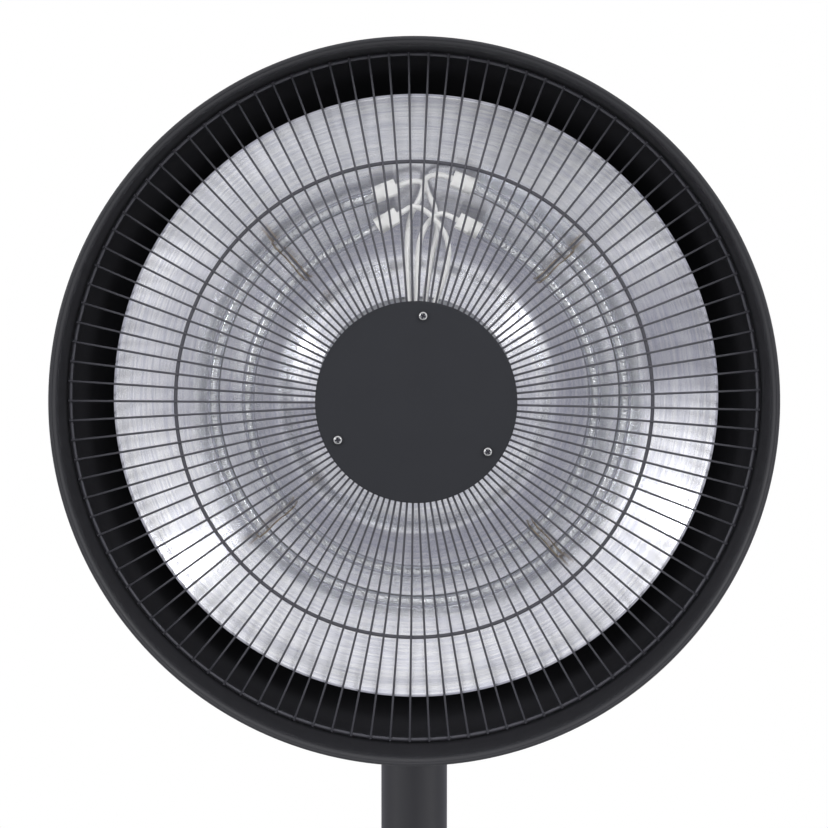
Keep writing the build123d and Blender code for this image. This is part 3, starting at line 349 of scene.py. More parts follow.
bpy.ops.object.select_all(action="DESELECT")
bpy.ops.mesh.primitive_circle_add(vertices=96, radius=FLOOR_R, fill_type="NGON")
floor = bpy.context.object
floor.name = "floor"
floor_finish = bpy.data.materials.new("floor_white")
floor_finish.use_nodes = True
floor.data.materials.append(floor_finish)
ground = floor_finish.node_tree
floor_coat = ground.nodes["Principled BSDF"]
floor_coat.inputs["Base Color"].default_value = (*FLOOR_TONE, 1)
floor_coat.inputs["Roughness"].default_value = FLOOR_ROUGHNESS
print("floor radius", FLOOR_R)

# %% [markdown]
# Mirrors see the floor wholly as a soft light of its own. Its level follows the distance from the
# heater, which lights the lower half of the dish's cone, and a few broad patches of that light are
# added on it: a brighter one at one side and two darker ones in front.

# %% The floor that mirrors see
FLOOR_LEVELS = [
    # share of the floor's radius, level
    (0.33, 0.52),
    (0.47, 0.82),
    (0.83, 0.82),
    (0.93, 0.57),
]
# brighter and darker patches in the light that mirrors see on the floor
FLOOR_LIGHT_PATCHES = [
    # place, reach, added light
    ((1.75, -1.60), 1.30, 0.20),
    ((-0.80, -1.40), 1.00, -0.33),
    ((0.30, -1.25), 0.80, -0.11),
]
LIGHT_PATCH_FULL_WITHIN = 0.2

floor_place = ground.nodes.new("ShaderNodeTexCoord").outputs["Object"]
floor_reach = vector_maths(ground, "LENGTH", floor_place, gives="Value")
share_of_radius = maths(ground, "DIVIDE", floor_reach, FLOOR_R)
by_distance = ground.nodes.new("ShaderNodeValToRGB")
stops = by_distance.color_ramp.elements
for share, level in FLOOR_LEVELS:
    stops.new(share).color = (level, level, level, 1)
stops.remove(stops[0])
stops.remove(stops[len(stops) - 1])
ground.links.new(share_of_radius, by_distance.inputs["Fac"])
floor_level = by_distance.outputs["Color"]
for place, reach, light in FLOOR_LIGHT_PATCHES:
    gap = vector_maths(ground, "DISTANCE", floor_place, (*place, 0), gives="Value")
    light_patch = ranged(ground, gap, (LIGHT_PATCH_FULL_WITHIN * reach, reach), (light, 0.0), smooth=True)
    floor_level = maths(ground, "ADD", floor_level, light_patch)
print("levels:", [stop.position for stop in stops], "boards:", len(FLOOR_LIGHT_PATCHES))

# %% Its own light, by the kind of ray
FLOOR_MIRROR_TINT = (0.955, 0.965, 1.01)
OWN_LIGHT_FROM, OWN_LIGHT_TO = 0.15, 0.95
OWN_LIGHT_NEAR, OWN_LIGHT_FAR = 0.30, 1.0

floor_path = ground.nodes.new("ShaderNodeLightPath")
to_camera = floor_path.outputs["Is Camera Ray"]
to_mirror = floor_path.outputs["Is Glossy Ray"]
floor_glow = ground.nodes.new("ShaderNodeEmission")
glow_tint = blended(ground, to_mirror, WHITE, FLOOR_MIRROR_TINT)
ground.links.new(glow_tint, floor_glow.inputs["Color"])
glow_strength = ground.nodes.new("ShaderNodeMix")
glow_strength.inputs["A"].default_value = 1.0
ground.links.new(to_mirror, glow_strength.inputs["Factor"])
ground.links.new(floor_level, glow_strength.inputs["B"])
ground.links.new(glow_strength.outputs["Result"], floor_glow.inputs["Strength"])
own_light = ranged(ground, share_of_radius, (OWN_LIGHT_FROM, OWN_LIGHT_TO),
                   (OWN_LIGHT_NEAR, OWN_LIGHT_FAR), smooth=True)
glow_share = maths(ground, "MULTIPLY_ADD", to_camera, own_light, to_mirror)
floor_look = mixed_shader(ground, glow_share, floor_coat.outputs[0], floor_glow.outputs[0])
ground.links.new(floor_look, ground.nodes["Material Output"].inputs["Surface"])
print("floor nodes:", len(ground.nodes))

# %% [markdown]
# ## Finishes
#
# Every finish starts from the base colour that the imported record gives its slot, or from a tone of
# its own where the photographer's light shows it otherwise. On top of it come a slow drift of
# tone and a fine grain. They could be painted or taken from pictures. Noise in object coordinates
# is used instead: its grain has a real size in metres, never stretches and shows no seam.

# %% Tones
BASE = {m["slot"]: m["base_color"] for m in frame["record"]["materials"]}
FINISH = {}
TONE = {
    # finishes that look darker, lighter or bluer in the photographer's light than the plain colour
    "black_coat": (0.020, 0.020, 0.023),
    "grille_coat": (0.062, 0.062, 0.074),
    "disc_coat": (0.023, 0.024, 0.028),
    "heating_wire": (0.95, 0.95, 0.96),
    "heat_tinted_steel": (0.42, 0.35, 0.26),
    "white_ceramic": (0.96, 0.96, 0.96),
    "glass_sleeve": (0.95, 0.95, 0.96),
}


def tone_of(slot_name):
    """The colour a finish is mixed from: its own tone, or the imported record's colour."""
    return TONE.get(slot_name, BASE[slot_name][:3])


def blank_finish(slot_name):
    """A new finish in its tone; returns its node tree and its shader."""
    finish = bpy.data.materials.new(slot_name)
    finish.use_nodes = True
    tree = finish.node_tree
    shader = tree.nodes["Principled BSDF"]
    shader.inputs["Base Color"].default_value = (*tone_of(slot_name), 1)
    FINISH[slot_name] = finish
    return tree, shader


print("slots:", len(BASE), "with a tone of their own:", len(TONE))


# %% Noise and bumps
def noise_at(tree, grain, detail):
    """Noise whose features are about as wide as grain, in metres."""
    place = tree.nodes.new("ShaderNodeTexCoord")
    noise = tree.nodes.new("ShaderNodeTexNoise")
    noise.inputs["Scale"].default_value = 1 / grain
    noise.inputs["Detail"].default_value = detail
    tree.links.new(place.outputs["Object"], noise.inputs["Vector"])
    return noise.outputs["Fac"]


def bumped(tree, pattern, height, under=None):
    """A surface tilted by a pattern of a given height, on top of another bump if one is given."""
    node = tree.nodes.new("ShaderNodeBump")
    node.inputs["Distance"].default_value = height
    tree.links.new(pattern, node.inputs["Height"])
    if under is not None:
        tree.links.new(under, node.inputs["Normal"])
    return node.outputs["Normal"]


print("helpers for noise and bumps ready")

# %% Drift and grain
TONE_DETAIL = 3.0
ROUGH_DETAIL = 2.0
GRAIN_DETAIL = 1.5


def tone_drift(tree, shader, slot_name, grain, amount):
    """Lets the base colour drift by a share of itself."""
    darker = [c * (1 - amount) for c in tone_of(slot_name)]
    lighter = [min(1, c * (1 + amount)) for c in tone_of(slot_name)]
    tone = blended(tree, noise_at(tree, grain, TONE_DETAIL), darker, lighter)
    tree.links.new(tone, shader.inputs["Base Color"])


def rough_drift(tree, shader, grain, low, high):
    """Lets the roughness drift between two values."""
    roughness = ranged(tree, noise_at(tree, grain, ROUGH_DETAIL), (0.0, 1.0), (low, high))
    tree.links.new(roughness, shader.inputs["Roughness"])


def fine_bump(tree, shader, grain, height):
    """A fine grain that only tilts the surface."""
    normal = bumped(tree, noise_at(tree, grain, GRAIN_DETAIL), height)
    tree.links.new(normal, shader.inputs["Normal"])


print("noise detail for tone, roughness and grain:", TONE_DETAIL, ROUGH_DETAIL, GRAIN_DETAIL)

# %% [markdown]
# ### Black and grey coats, plastics and small metals
#
# Powder coat is a melted film with a faint orange-peel surface: satin, with grain well under a
# millimetre. Moulded plastic is finer and duller. The small metal pieces differ mainly in tone
# and roughness. So one recipe serves them all, and a table gives each its four values.

# %% Plain finishes
PLAIN = {
    # slot: metallic, roughness, grain size, grain height
    "black_coat": (0.0, 0.42, 0.9 * MM, 0.012 * MM),
    "cast_black": (0.0, 0.50, 1.4 * MM, 0.030 * MM),
    "grille_coat": (0.0, 0.40, 0.7 * MM, 0.006 * MM),
    "disc_coat": (0.0, 0.55, 0.5 * MM, 0.010 * MM),
    "pad_rubber": (0.0, 0.85, 0.8 * MM, 0.030 * MM),
    "black_plastic": (0.0, 0.48, 0.45 * MM, 0.014 * MM),
    "rocker_black": (0.0, 0.22, 2.0 * MM, 0.004 * MM),
    "black_nylon": (0.0, 0.45, 0.8 * MM, 0.006 * MM),
    "pale_plastic": (0.0, 0.50, 0.8 * MM, 0.006 * MM),
    "white_ceramic": (0.0, 0.62, 0.4 * MM, 0.012 * MM),
    "plain_aluminium": (1.0, 0.38, 0.6 * MM, 0.006 * MM),
    "zinc_sheet": (1.0, 0.42, 3.0 * MM, 0.010 * MM),
    "steel_bright": (1.0, 0.24, 0.5 * MM, 0.004 * MM),
    "steel_dark": (1.0, 0.40, 0.5 * MM, 0.006 * MM),
    "heat_tinted_steel": (1.0, 0.35, 0.5 * MM, 0.006 * MM),
    "heating_wire": (0.55, 0.20, 0.4 * MM, 0.004 * MM),
    "brass_insert": (1.0, 0.30, 0.6 * MM, 0.006 * MM),
}
TONE_GRAIN = 20 * MM
TONE_SHARE = 0.06
ROUGH_GRAIN = 12 * MM
ROUGH_SHARE = 0.1

for slot_name, (metallic, rough, grain, height) in PLAIN.items():
    tree, shader = blank_finish(slot_name)
    shader.inputs["Metallic"].default_value = metallic
    tone_drift(tree, shader, slot_name, TONE_GRAIN, TONE_SHARE)
    smoothest = rough * (1 - ROUGH_SHARE)
    roughest = min(1.0, rough * (1 + ROUGH_SHARE))
    rough_drift(tree, shader, ROUGH_GRAIN, smoothest, roughest)
    fine_bump(tree, shader, grain, height)
print("plain finishes:", len(PLAIN))

# %% [markdown]
# Three of them need a little more. The powder coat of shell and pole is glossier than plain
# plastic and the disc's coat duller. Unglazed ceramic lets light a few millimetres in, which
# softens its shadows.

# %% Values of their own
OWN_VALUES = [
    # slot, shader input, value
    ("black_coat", "Specular IOR Level", 0.62),
    ("disc_coat", "Specular IOR Level", 0.25),
    ("white_ceramic", "Subsurface Weight", 0.2),
    ("white_ceramic", "Subsurface Radius", (0.003, 0.003, 0.003)),
]
for slot_name, input_name, value in OWN_VALUES:
    shader = FINISH[slot_name].node_tree.nodes["Principled BSDF"]
    shader.inputs[input_name].default_value = value
    print(slot_name, input_name, value)

# %% [markdown]
# ### Spun aluminium
#
# The dish is spun on a lathe and polished, which leaves fine rings round its axis. A picture of
# brushed metal would run in straight lines. So the rings are noise that changes fast with the
# distance from the axis and slowly round it, and for that each point's distance and direction
# from the axis are worked out first. Anisotropic gloss whose tangent is that direction pulls a
# reflection out into a radial fan, as the rings of the real dish do.

# %% Distance and direction from the axis
DISH_GLOSS_PULL = 0.65

dish_tree, dish_shader = blank_finish("bright_aluminium")
dish_shader.inputs["Metallic"].default_value = 1.0
dish_shader.inputs["Anisotropic"].default_value = DISH_GLOSS_PULL
place = dish_tree.nodes.new("ShaderNodeTexCoord").outputs["Object"]
centred = vector_maths(dish_tree, "SUBTRACT", place, HEAD_AXIS["at"])
flat = vector_maths(dish_tree, "MULTIPLY", centred, (1, 0, 1))
distance = vector_maths(dish_tree, "LENGTH", flat, gives="Value")
outward = vector_maths(dish_tree, "NORMALIZE", flat)
dish_tree.links.new(outward, dish_shader.inputs["Tangent"])


def polar_noise(around_scale, radial_scale, detail):
    """Noise over the direction from the axis and the distance from it."""
    around = vector_maths(dish_tree, "MULTIPLY", outward, (around_scale,) * 3)
    reach = dish_tree.nodes.new("ShaderNodeCombineXYZ")
    dish_tree.links.new(maths(dish_tree, "MULTIPLY", distance, radial_scale), reach.inputs["Y"])
    noise = dish_tree.nodes.new("ShaderNodeTexNoise")
    noise.inputs["Scale"].default_value = 1.0
    noise.inputs["Detail"].default_value = detail
    spot = vector_maths(dish_tree, "ADD", around, reach.outputs[0])
    dish_tree.links.new(spot, noise.inputs["Vector"])
    return noise.outputs["Fac"]


print("dish finish nodes so far:", len(dish_tree.nodes))

# %% [markdown]
# Three such noises make the look. Very fine lathe rings tilt the surface a little and change its
# roughness. A slow noise stands for the small waves of thin spun sheet and breaks the fans up.
# The tool's streaks change the tone, from a slightly blue grey to nearly white.

# %% Rings, waves and streaks
RING_HEIGHT = 0.012 * MM
WAVE_HEIGHT = 1.1 * MM
RING_ROUGHNESS = (0.14, 0.25)
STREAK_STEP = (0.34, 0.62)
STREAK_DULL = (0.775, 0.78, 0.84)
STREAK_BRIGHT = (0.94, 0.94, 0.95)

lathe_rings = polar_noise(around_scale=5.0, radial_scale=1500.0, detail=3.0)
sheet_waves = polar_noise(around_scale=3.4, radial_scale=14.0, detail=2.0)
tool_streaks = polar_noise(around_scale=5.5, radial_scale=820.0, detail=3.0)
wavy = bumped(dish_tree, sheet_waves, WAVE_HEIGHT)
ringed = bumped(dish_tree, lathe_rings, RING_HEIGHT, under=wavy)
dish_tree.links.new(ringed, dish_shader.inputs["Normal"])
streak_share = ranged(dish_tree, tool_streaks, STREAK_STEP, (0.0, 1.0))
streak_tone = blended(dish_tree, streak_share, STREAK_DULL, STREAK_BRIGHT)
dish_tree.links.new(streak_tone, dish_shader.inputs["Base Color"])
ring_rough = ranged(dish_tree, lathe_rings, (0.0, 1.0), RING_ROUGHNESS)
dish_tree.links.new(ring_rough, dish_shader.inputs["Roughness"])
print("dish finish nodes:", len(dish_tree.nodes))

# %% [markdown]
# ### Quartz
#
# Fused quartz is clear, with a lower index than window glass. Transmission alone leaves a thin
# tube nearly unseen on a bright dish. A clear coat with a higher index brings back the bright
# lines along it that the real tubes show.

# %% Quartz
QUARTZ = {
    "Base Color": (0.97, 0.98, 1.0, 1),
    "Transmission Weight": 1.0,
    "IOR": 1.46,
    "Coat Weight": 1.0,
    "Coat IOR": 1.8,
    "Coat Roughness": 0.02,
    "Roughness": 0.02,
}
tree, shader = blank_finish("quartz")
for input_name, value in QUARTZ.items():
    shader.inputs[input_name].default_value = value
fine_bump(tree, shader, grain=6.0 * MM, height=0.02 * MM)
print("quartz values:", len(QUARTZ))

# %% [markdown]
# ### Glass-fibre sleeving
#
# The sleeves on the leads are braided glass fibre: white and dull, with a weave of well under a
# millimetre. Modelled threads would be lost at this size, so a cell pattern tilts the surface.

# %% Sleeving
SLEEVE = {
    "Roughness": 0.8,
    "Subsurface Weight": 0.15,
    "Subsurface Radius": (0.002, 0.002, 0.002),
}
BRAID_CELL = 0.55 * MM
BRAID_HEIGHT = 0.08 * MM

tree, shader = blank_finish("glass_sleeve")
for input_name, value in SLEEVE.items():
    shader.inputs[input_name].default_value = value
tone_drift(tree, shader, "glass_sleeve", grain=1.5 * MM, amount=0.07)
place = tree.nodes.new("ShaderNodeTexCoord")
braid = tree.nodes.new("ShaderNodeTexVoronoi")
braid.inputs["Scale"].default_value = 1 / BRAID_CELL
tree.links.new(place.outputs["Object"], braid.inputs["Vector"])
braided = bumped(tree, braid.outputs["Distance"], BRAID_HEIGHT)
tree.links.new(braided, shader.inputs["Normal"])
print("finishes:", sorted(FINISH))

# %% [markdown]
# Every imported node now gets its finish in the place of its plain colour. Those that no new piece
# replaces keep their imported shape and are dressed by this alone.

# %% Give every CAD node its finish
for subpart in frame["record"]["subparts"]:
    node_object = frame["nodes"][subpart["node"]]
    node_object.material_slots[0].material = FINISH[subpart["material_slot"]]

# %% [markdown]
# ## Finishing a piece
#
# Nearly every piece made below ends in the same way: it gets its name, its place goes into its
# mesh, its faces are shaded smooth up to an angle, it takes the finish and the body of the packed
# node that it stands for, and that node is hidden. One function does this, so no step is missed.

# %% Finish a piece
SLOT_OF = {s["node"]: s["material_slot"] for s in frame["record"]["subparts"]}
BODY_OF = {}
for body_name, members in frame["record"]["behaviour"]["bodies"].items():
    for member in members:
        BODY_OF[member] = body_name


def select_only(piece):
    """Makes a piece the only selected and active one."""
    bpy.ops.object.select_all(action="DESELECT")
    piece.select_set(True)
    bpy.context.view_layer.objects.active = piece


def finish_piece(piece, name, *nodes_replaced, smooth):
    """Names a finished piece, smooths it and lets it stand for its CAD nodes."""
    piece.name = name
    piece.data.name = name
    select_only(piece)
    bpy.ops.object.transform_apply(location=True, rotation=True, scale=True)
    bpy.ops.object.shade_smooth_by_angle(angle=math.radians(smooth))
    first = nodes_replaced[0]
    piece.data.materials.clear()
    piece.data.materials.append(FINISH[SLOT_OF[first]])
    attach(piece, BODY_OF[first])
    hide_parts(*nodes_replaced)
    print(f"{name}: {len(piece.data.polygons)} faces")


print("nodes with a slot:", len(SLOT_OF), "with a body:", len(BODY_OF))

# %% [markdown]
# ## Spinning an outline
#
# Most pieces of the head are round about its axis, because they are spun or turned when they are
# made. They could be cylinders with their rings scaled one by one. Here a piece starts as one
# point of a small plane, its section is drawn point by point with extrude, and the spin operator
# sweeps it round. The section is then one list of numbers that can be read and corrected.

# %% Spin helpers
MERGE_SPUN = 0.004 * MM


def first_point(place):
    """One single point, left selected in edit mode, to draw an outline from."""
    bpy.ops.object.select_all(action="DESELECT")
    bpy.ops.mesh.primitive_plane_add(size=MM, enter_editmode=True, location=(0, 0, 0))
    bpy.ops.mesh.select_mode(type="VERT")
    bpy.ops.mesh.select_all(action="SELECT")
    bpy.ops.mesh.merge(type="CENTER")
    bpy.ops.transform.translate(value=place)
    return bpy.context.object


def spun(outline, axis, steps):
    """Draws an outline of (radius, distance along) points and spins it round an axis."""
    places = [axis["at"] + axis["out"] * r + axis["along"] * d for r, d in outline]
    piece = first_point(places[0])
    for here, there in zip(places, places[1:]):
        bpy.ops.mesh.extrude_region_move(TRANSFORM_OT_translate={"value": there - here})
    bpy.ops.mesh.select_all(action="SELECT")
    bpy.ops.mesh.spin(steps=steps, angle=2 * math.pi, center=axis["at"], axis=-axis["along"])
    bpy.ops.mesh.select_all(action="SELECT")
    bpy.ops.mesh.remove_doubles(threshold=MERGE_SPUN)
    bpy.ops.mesh.normals_make_consistent(inside=False)
    bpy.ops.object.mode_set(mode="OBJECT")
    return piece


def arc(middle, radius, start, swing, count):
    """Points along an arc of an outline, from a start angle and through a swing, in degrees."""
    angles = [math.radians(start + swing * i / count) for i in range(count + 1)]
    return [(middle[0] + radius * math.cos(a), middle[1] + radius * math.sin(a)) for a in angles]


print("a quarter arc in four steps has", len(arc((0, 0), 1, 0, 90, 4)), "points")

# %% [markdown]
# ## The shell
#
# The shell is one sheet of steel: the rim is folded over on itself, flares in a short curve into
# the mouth wall, and the wall runs back into the domed crown. A solidify modifier could give the
# sheet its thickness, but not the folded rim. So its section is drawn once for the inside and
# once for the outside, with the fold between them, and spun.

# %% Measures of the shell
RIM_R = (shell_high[0] - shell_low[0]) / 2
SHEET = 1.2 * MM
HEM_R = 1.2 * MM
FLARE_R = 4.0 * MM
MOUTH_R = RIM_R - HEM_R - FLARE_R
MOUTH_TAPER = 0.5 * MM
MOUTH_DEPTH = 40 * MM
SHELL_DEPTH = shell_high[1] - shell_low[1]
BACK_R = 70 * MM
SHOULDER_R = 62 * MM
CONDUIT_HOLE_R = 12.1 * MM
print(f"rim radius {RIM_R / MM:.1f} mm, shell depth {SHELL_DEPTH / MM:.1f} mm")


# %% Shell
def shell_face(sheet):
    """The shell's section from the lip to the back; sheet is 0 inside and one sheet outside."""
    throat = MOUTH_R - MOUTH_TAPER
    rise = SHELL_DEPTH - SHEET - MOUTH_DEPTH
    rest = throat - BACK_R - SHOULDER_R
    crown_r = (rise ** 2 - SHOULDER_R ** 2 + rest ** 2) / (2 * (rise - SHOULDER_R))
    swing = math.degrees(math.atan2(crown_r - rise, rest))
    lip = (MOUTH_R + FLARE_R, HEM_R - SHEET / 2 + FLARE_R)
    shoulder = (throat - SHOULDER_R, MOUTH_DEPTH)
    crown = (BACK_R, MOUTH_DEPTH + rise - crown_r)
    points = arc(lip, FLARE_R - sheet, start=262, swing=-82, count=10)
    points += arc(shoulder, SHOULDER_R + sheet, start=0, swing=swing, count=16)
    points += arc(crown, crown_r + sheet, start=swing, swing=90 - swing, count=14)[1:]
    return points + [(CONDUIT_HOLE_R, SHELL_DEPTH - SHEET + sheet)]


hem = arc((RIM_R - HEM_R, HEM_R), HEM_R, start=150, swing=-310, count=18)
shell_outline = list(reversed(shell_face(0.0))) + hem + shell_face(SHEET)
shell_outline.append(shell_outline[0])
shell = spun(shell_outline, HEAD_AXIS, steps=240)
finish_piece(shell, "shell_spun", "head_shell", smooth=50)

# %% [markdown]
# ## The reflector
#
# A dish of thin aluminium inside the shell, with a small flat edge. The wall is steep near the
# edge, eases into a shallow channel behind the tubes, and rises again to a seat for the hub. A
# few chosen places along that section carry the form, and rounds of corner cutting make a smooth
# line of them, as a spinner's roller does. The photographed dish is about 2 mm smaller than the
# packed one and stands 1 mm to the right in its shell.

# %% Measures of the dish
dish_low, dish_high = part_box("reflector")
DISH_SMALLER = 2.0 * MM
DISH_R = (dish_high[0] - dish_low[0]) / 2 - DISH_SMALLER
DISH_ASIDE = Vector((1.1 * MM, 0, 0))
DISH_DEPTH = dish_low[1] - RIM_Y
DISH_SHEET = 0.8 * MM
DISH_FLANGE = 1.2 * MM
DISH_EDGE_DROP = 0.72 * MM
HUB_SEAT_DEPTH = 80 * MM
print(f"dish radius {DISH_R / MM:.1f} mm, {DISH_DEPTH / MM:.1f} mm behind the rim")


# %% Reflector
def dish_face(sheet):
    """The dish's section from its edge to the hub seat."""
    edge = [(DISH_R, DISH_DEPTH), (DISH_R - DISH_FLANGE, DISH_DEPTH)]
    edge.append((DISH_R - 2 * DISH_FLANGE, DISH_DEPTH + DISH_EDGE_DROP))
    wall = [(172.0, 63.0), (160.0, 69.3), (146.0, 75.7), (134.0, 80.8), (121.0, 85.5)]
    channel = [(112.0, 87.9), (104.0, 89.0), (98.0, 89.6), (92.0, 89.6), (88.0, 89.35)]
    cone = [(85.5, 88.95), (83.0, 88.15), (80.5, 87.05), (77.0, 85.25), (74.0, 83.9), (71.0, 82.8)]
    cone += [(66.0, 81.1), (61.0, 79.45), (60.4, 79.3), (59.6, 79.8)]
    inner = [(r * MM, d * MM) for r, d in wall + channel + cone]
    inner.append((CONDUIT_HOLE_R, HUB_SEAT_DEPTH))
    return [(r, d + sheet) for r, d in edge + inner]


def eased(outline, rounds=2):
    """Cuts the corners of an open outline at a quarter and three quarters of each side."""
    for _ in range(rounds):
        cut = [outline[0]]
        for a, b in zip(outline, outline[1:]):
            cut.append((a[0] * 0.75 + b[0] * 0.25, a[1] * 0.75 + b[1] * 0.25))
            cut.append((a[0] * 0.25 + b[0] * 0.75, a[1] * 0.25 + b[1] * 0.75))
        outline = cut + [outline[-1]]
    return outline


front = eased(dish_face(0.0))
back = eased(dish_face(DISH_SHEET))
dish_outline = front + list(reversed(back)) + front[:1]
dish = spun(dish_outline, HEAD_AXIS, steps=240)
dish.location += DISH_ASIDE
finish_piece(dish, "reflector_dish", "reflector", smooth=60)

# %% [markdown]
# ## The grille
#
# A wire guard: straight spokes lie on three rings and are welded at each crossing. An array
# modifier could repeat a spoke too, but only round an empty placed for it. Here one spoke is
# modelled with its three small weld beads, and the spin operator repeats it round the axis.
# Clock angles run clockwise from the top as seen from the front. The spin operator turns the
# other way round its axis, so it is given the axis reversed.

# %% Where the wires lie
SPOKES = 109
FIRST_SPOKE_DEG = -0.9
SPOKE_R = 0.67 * MM
RING_R = 1.12 * MM
WELD_SINK = 0.4 * MM
RINGS = {"outer": 204.7 * MM, "middle": 141.5 * MM, "inner": 56.8 * MM}
SPOKE_DEPTH_OUT = 38.0 * MM
SPOKE_DEPTH_IN = 21.6 * MM
SPOKE_OVERRUN = 1.0 * MM
SPOKE_SLOPE = (SPOKE_DEPTH_OUT - SPOKE_DEPTH_IN) / (RINGS["outer"] - RINGS["inner"])


def spoke_depth(radius):
    """Depth of a spoke's middle at a distance from the head's axis."""
    return SPOKE_DEPTH_IN + (radius - RINGS["inner"]) * SPOKE_SLOPE


def ring_middle(radius):
    """Where a ring wire's middle lies behind the spokes."""
    drop = (SPOKE_R + RING_R - WELD_SINK) / math.hypot(1, SPOKE_SLOPE)
    return radius - drop * SPOKE_SLOPE, spoke_depth(radius) + drop


print(f"spokes slope back {math.degrees(math.atan(SPOKE_SLOPE)):.1f} degrees")


# %% Repeat a piece round the head
def around_head(piece, count, first_deg):
    """Turns a piece from the top to its first place and repeats it round the head's axis."""
    select_only(piece)
    bpy.ops.object.mode_set(mode="EDIT")
    bpy.ops.mesh.select_all(action="SELECT")
    first = math.radians(first_deg)
    bpy.ops.mesh.spin(steps=1, dupli=True, angle=first, center=HEAD_AXIS["at"], axis=(0, -1, 0))
    bpy.ops.mesh.select_all(action="INVERT")
    bpy.ops.mesh.delete(type="VERT")
    bpy.ops.mesh.select_all(action="SELECT")
    bpy.ops.mesh.spin(steps=count - 1, dupli=True, angle=2 * math.pi * (count - 1) / count,
                      center=HEAD_AXIS["at"], axis=(0, -1, 0))
    bpy.ops.object.mode_set(mode="OBJECT")
    print("repeated", count, "times from", first_deg, "degrees")


# %% Spokes
WELD_R = 1.0 * MM
WELD_SHAPE = (1.15, 0.75, 1.0)
WELD_BEHIND = 0.9

inner_end = RINGS["inner"] - SPOKE_OVERRUN
outer_end = RINGS["outer"] + SPOKE_OVERRUN
spoke_tilt = math.atan(SPOKE_SLOPE)
spoke_middle = (inner_end + outer_end) / 2
spoke_place = HEAD_AXIS["at"] + Vector((0, spoke_depth(spoke_middle), spoke_middle))
bpy.ops.object.select_all(action="DESELECT")
bpy.ops.mesh.primitive_cylinder_add(vertices=8, radius=SPOKE_R, location=spoke_place,
                                    depth=(outer_end - inner_end) / math.cos(spoke_tilt),
                                    rotation=(-spoke_tilt, 0, 0), end_fill_type="NGON")
guard = bpy.context.object
bpy.ops.object.transform_apply(location=True, rotation=True, scale=True)
bpy.ops.object.mode_set(mode="EDIT")
for ring in RINGS.values():
    weld = HEAD_AXIS["at"] + Vector((0, spoke_depth(ring) + SPOKE_R * WELD_BEHIND, ring))
    bpy.ops.mesh.select_all(action="DESELECT")
    bpy.ops.mesh.primitive_uv_sphere_add(segments=8, ring_count=4, radius=WELD_R, location=weld,
                                         scale=WELD_SHAPE)
bpy.ops.object.mode_set(mode="OBJECT")
around_head(guard, SPOKES, FIRST_SPOKE_DEG)
print("spoke faces:", len(guard.data.polygons))

# %% [markdown]
# The rings are bent from thicker wire. A torus primitive would do, but the spin helper takes the
# same radius and depth as the spokes do, and one join makes guard and rings a single piece.

# %% Rings, joined to the spokes
ring_pieces = []
for ring in RINGS.values():
    ring_outline = arc(ring_middle(ring), RING_R, start=0, swing=360, count=12)
    ring_pieces.append(spun(ring_outline, HEAD_AXIS, steps=2 * SPOKES))
bpy.ops.object.select_all(action="DESELECT")
for ring_piece in ring_pieces:
    ring_piece.select_set(True)
guard.select_set(True)
bpy.context.view_layer.objects.active = guard
bpy.ops.object.join()
finish_piece(guard, "wire_guard", "grille", smooth=50)

# %% [markdown]
# ## The cover disc
#
# A flat pressed disc with a turned-down edge. A bevelled cylinder would have the same front, but
# the pressing is thin and hollow behind, so its section is drawn and spun. The photograph shows
# the disc and its screws a good millimetre right of the grille's middle, within the play of its
# screw holes.

# %% Cover disc
cover_low, cover_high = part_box("cover_disc")
DISC_R = (cover_high[0] - cover_low[0]) / 2
DISC_FRONT = cover_low[1] - RIM_Y
DISC_BACK = cover_high[1] - RIM_Y
DISC_EDGE = 0.8 * MM
DISC_SHEET = 1.2 * MM
DISC_ASIDE = Vector((1.2 * MM, 0, 0.25 * MM))

disc_corner = (DISC_R - DISC_EDGE, DISC_FRONT + DISC_EDGE)
cover_outline = [(0.0, DISC_FRONT)]
cover_outline += arc(disc_corner, DISC_EDGE, start=270, swing=90, count=8)
cover_outline += [(DISC_R, DISC_BACK), (DISC_R - DISC_SHEET, DISC_BACK)]
cover_outline += [(DISC_R - DISC_SHEET, DISC_FRONT + DISC_SHEET), (0.0, DISC_FRONT + DISC_SHEET)]
cover = spun(cover_outline, HEAD_AXIS, steps=200)
cover.location += DISC_ASIDE
finish_piece(cover, "cover_disc_pressed", "cover_disc", smooth=50)

# %% [markdown]
# ## The cover screws
#
# Three pan-head screws hold the disc. A screw's head is turned, so it is spun like the disc. Its
# cross recess is punched: two thin blocks are cut out of it with a boolean, which is the shortest
# way to two crossing slots with sharp corners. One screw is made at the top and repeated.

# %% A screw head
COVER_SCREWS = 3
COVER_SCREW_RING = 51 * MM
COVER_SCREW_DEG = 4.5
HEAD_R = 2.9 * MM
HEAD_HEIGHT = 1.9 * MM
SHANK_R = 1.9 * MM
SHANK_LENGTH = 10 * MM
DOME_R = HEAD_R * 0.55
DOME_MIDDLE = (HEAD_R * 0.45, -HEAD_HEIGHT * 0.35)
HEAD_FLAT_R = HEAD_R * 0.5

screw_axis = dict(HEAD_AXIS, at=HEAD_AXIS["at"] + Vector((0, DISC_FRONT, COVER_SCREW_RING)))
head_outline = [(0.0, -HEAD_HEIGHT), (HEAD_FLAT_R, -HEAD_HEIGHT)]
head_outline += arc(DOME_MIDDLE, DOME_R, start=285, swing=75, count=6)
head_outline += [(HEAD_R, 0.0), (SHANK_R, 0.0), (SHANK_R, SHANK_LENGTH), (0.0, SHANK_LENGTH)]
screws = spun(head_outline, screw_axis, steps=32)
print("one screw:", len(screws.data.polygons), "faces")

# %% Its cross recess, then all three screws
RECESS_SPAN = 3.2 * MM
RECESS_DEPTH = 1.2 * MM
RECESS_WIDTH = 1.15 * MM
RECESS_TURN_DEG = 20.0

